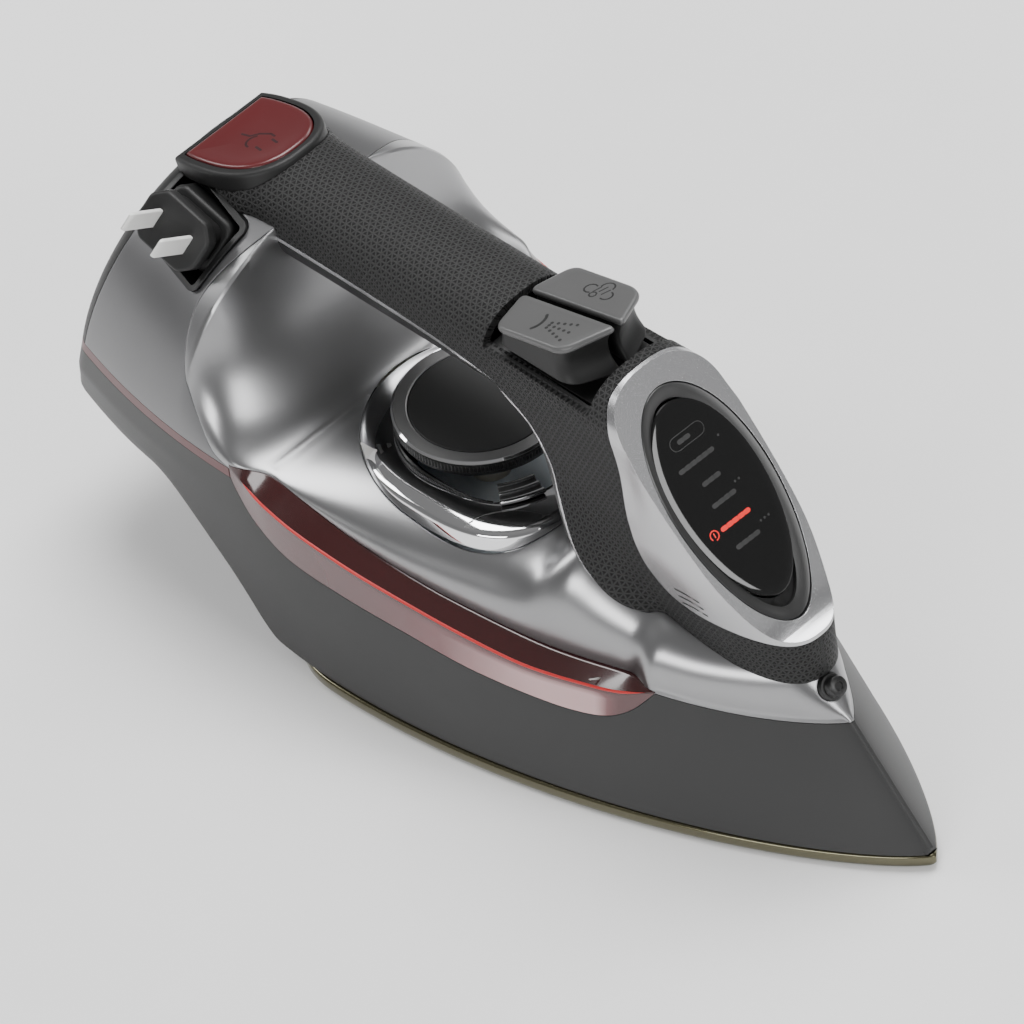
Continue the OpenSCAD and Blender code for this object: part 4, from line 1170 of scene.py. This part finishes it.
def plug_face_outline(inset):
    """Face of the plug: a rounded rectangle with long cut corners."""
    x, y, corner = 12.5 - inset, 9.0 - inset, 4.2 - 0.4 * inset
    front = [(x, y - corner), (x - corner, y), (corner - x, y), (-x, y - corner)]
    back = [(-x, -y) for x, y in front]
    return rounded_corners([(*point, 1.5) for point in front + back], 6)


def make_plug():
    recess = puck("plug_recess_look", lambda inset: recess_plan(-inset), [(0, -33), (0, 7)], AT_PLUG)
    boolean(recess, body_solid(-1.2), "INTERSECT")
    cut(recess, rewind_opening(), stand(recess_plan(-1.8), -31, 29, AT_PLUG),
        stand(disc(0, 0, 5.2, 40), -40, -20, AT_PLUG))
    finish(recess, "iron_body", "black_plastic", BLACK, "plug_recess")

    head = puck("plug_head", plug_face_outline, rounded_side(-5, 0, 1.1, 0.8, 5), AT_PLUG)
    neck = puck("plug_neck", rounded_rect(20, 13, 4), [(0, -12.2), (0, -7), (-0.4, -5.5), (-0.8, -4.6)],
                AT_PLUG)
    collar = puck("plug_collar", rounded_rect(24, 18, 4), rounded_side(-20, -11.6, 1.6, 0.8, 5), AT_PLUG)
    ribbed = [(0, -25)] + [(0.9 * (k % 2), -25 + 0.7 * k) for k in range(1, 8)] + [(0, -19.9)]
    relief = puck("plug_relief", round_plan(4.4), ribbed, AT_PLUG)
    whole = join("plug_body_look", [head, neck, collar, relief])
    finish(whole, "plug", "black_plastic", BLACK_SOFT, "plug_body")
    pointed = [(0, 0.05), (0, 15.6), (0.1, 16.4), (0.35, 17.2), (0.5, 17.6)]
    blades = [puck("blade", rounded_rect(1.5, 6.35, 0.35, s * 6.35), pointed, AT_PLUG) for s in (-1, 1)]
    pair = join("plug_blades_look", blades)
    finish(pair, "plug", "blade_nickel", BLADE, "plug_blades", sharp=math.radians(25))
    uneven = [(0.1 * (k % 2), -62 + 1.23 * k) for k in range(31)]
    lead = puck("cord_lead_look", round_plan(2.9), uneven, AT_PLUG)
    finish(lead, "plug", "cord_jacket", CORD, "cord_lead")


# ---------- small parts ----------

HINGE_X, HINGE_Y, HINGE_Z = 41.0, 39.6, 52.0


def make_small_parts(window):
    tube = puck("spray_nozzle_look", round_plan(4.2),
                [(0, -6), (0, 1.0), (0.3, 1.5), (1.3, 1.7), (1.35, 2.1), (0.9, 2.4), (0.9, 4.2), (1.2, 4.8),
                 (1.8, 5.1), (2.8, 5.2), (3.0, 4.6)], AT_NOZZLE)
    finish(tube, "iron_body", "black_plastic", BLACK, "spray_nozzle")
    door = boolean(body_solid(-1.6), body_solid(-0.35))
    door.name = "fill_door_look"
    boolean(door, stand(disc(0, 0, 11, 96), -15, 15, AT_FILL), "INTERSECT")
    finish(door, "fill_flap", "silver_paint", SILVER, "fill_door")
    at_hinge = shift(HINGE_X, HINGE_Y, HINGE_Z) @ turn("Y", 90)
    parts = [puck("hinge_barrel", round_plan(1.2, 32), rounded_side(0, 8, 0.2), at_hinge)]
    for x, deep in ((1.75, 2.0), (6.25, 3.1)):
        parts.append(puck("hinge_lug", rounded_rect(2.5, deep, 0.4), rounded_side(-0.8, 1.6, 0.2),
                          shift(HINGE_X + x, HINGE_Y - deep / 2, HINGE_Z)))
    finish(join("fill_door_hinge", parts), "fill_flap", "silver_paint", SILVER)
    at_tick = shift(57.5, -40, 46.0) @ turn("X", 90)
    decal("fill_tick", [bar(0, -0.9, -0.2, 1.0, 0.6)], window, at_tick, "iron_body", "white_plastic",
          INK_WHITE)


def coil(name, r, wire, high, turns, matrix):
    """A coil spring standing on the matrix's plane."""
    t = np.linspace(0, 2 * math.pi * turns, 32 * turns)
    z = wire / 2 + (high - wire) * t / t[-1]
    b = np.linspace(0, 2 * math.pi, 10, endpoint=False)
    out = r + wire / 2 * np.cos(b)
    rings = np.stack([out * np.cos(t)[:, None], out * np.sin(t)[:, None],
                      z[:, None] - wire / 2 * np.sin(b)], -1)
    return loft(name, move(rings.reshape(-1, 3), matrix).reshape(rings.shape))


def make_springs():
    """Coil springs under the two keys and the rewind button, each with a mesh of its own."""
    for side, name in ((-1, "spray"), (1, "steam")):
        foot = (SPRING_X, SPRING_Y * side, SPRING_Z)
        spring = coil(name + "_spring_look", 3.4, 0.8, 7.8, 4, shift(*foot))
        finish(spring, "iron_body", "spring_steel", STEEL, name + "_spring")
        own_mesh(spring)
    base = AT_REWIND @ shift(z=-5.15)
    spring = coil("rewind_spring_look", 3, 0.6, 1.9, 2, base)
    finish(spring, "iron_body", "spring_steel", STEEL, "rewind_spring")
    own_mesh(spring)


# ---------- build ----------

for material, nodes in CAD_FINISH:
    for node in nodes:
        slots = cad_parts[node].data.materials
        slots.clear()
        slots.append(material)

make_camera()
make_studio()
body = make_body()
make_crease_lines()
make_sole()
bezel = make_handle()
make_display(bezel)
plate = make_dial_plate()
make_dial()
make_slider()
make_dial_marks(plate)
make_keys()
make_rewind()
make_plug()
make_small_parts(body["window_right"])
make_springs()
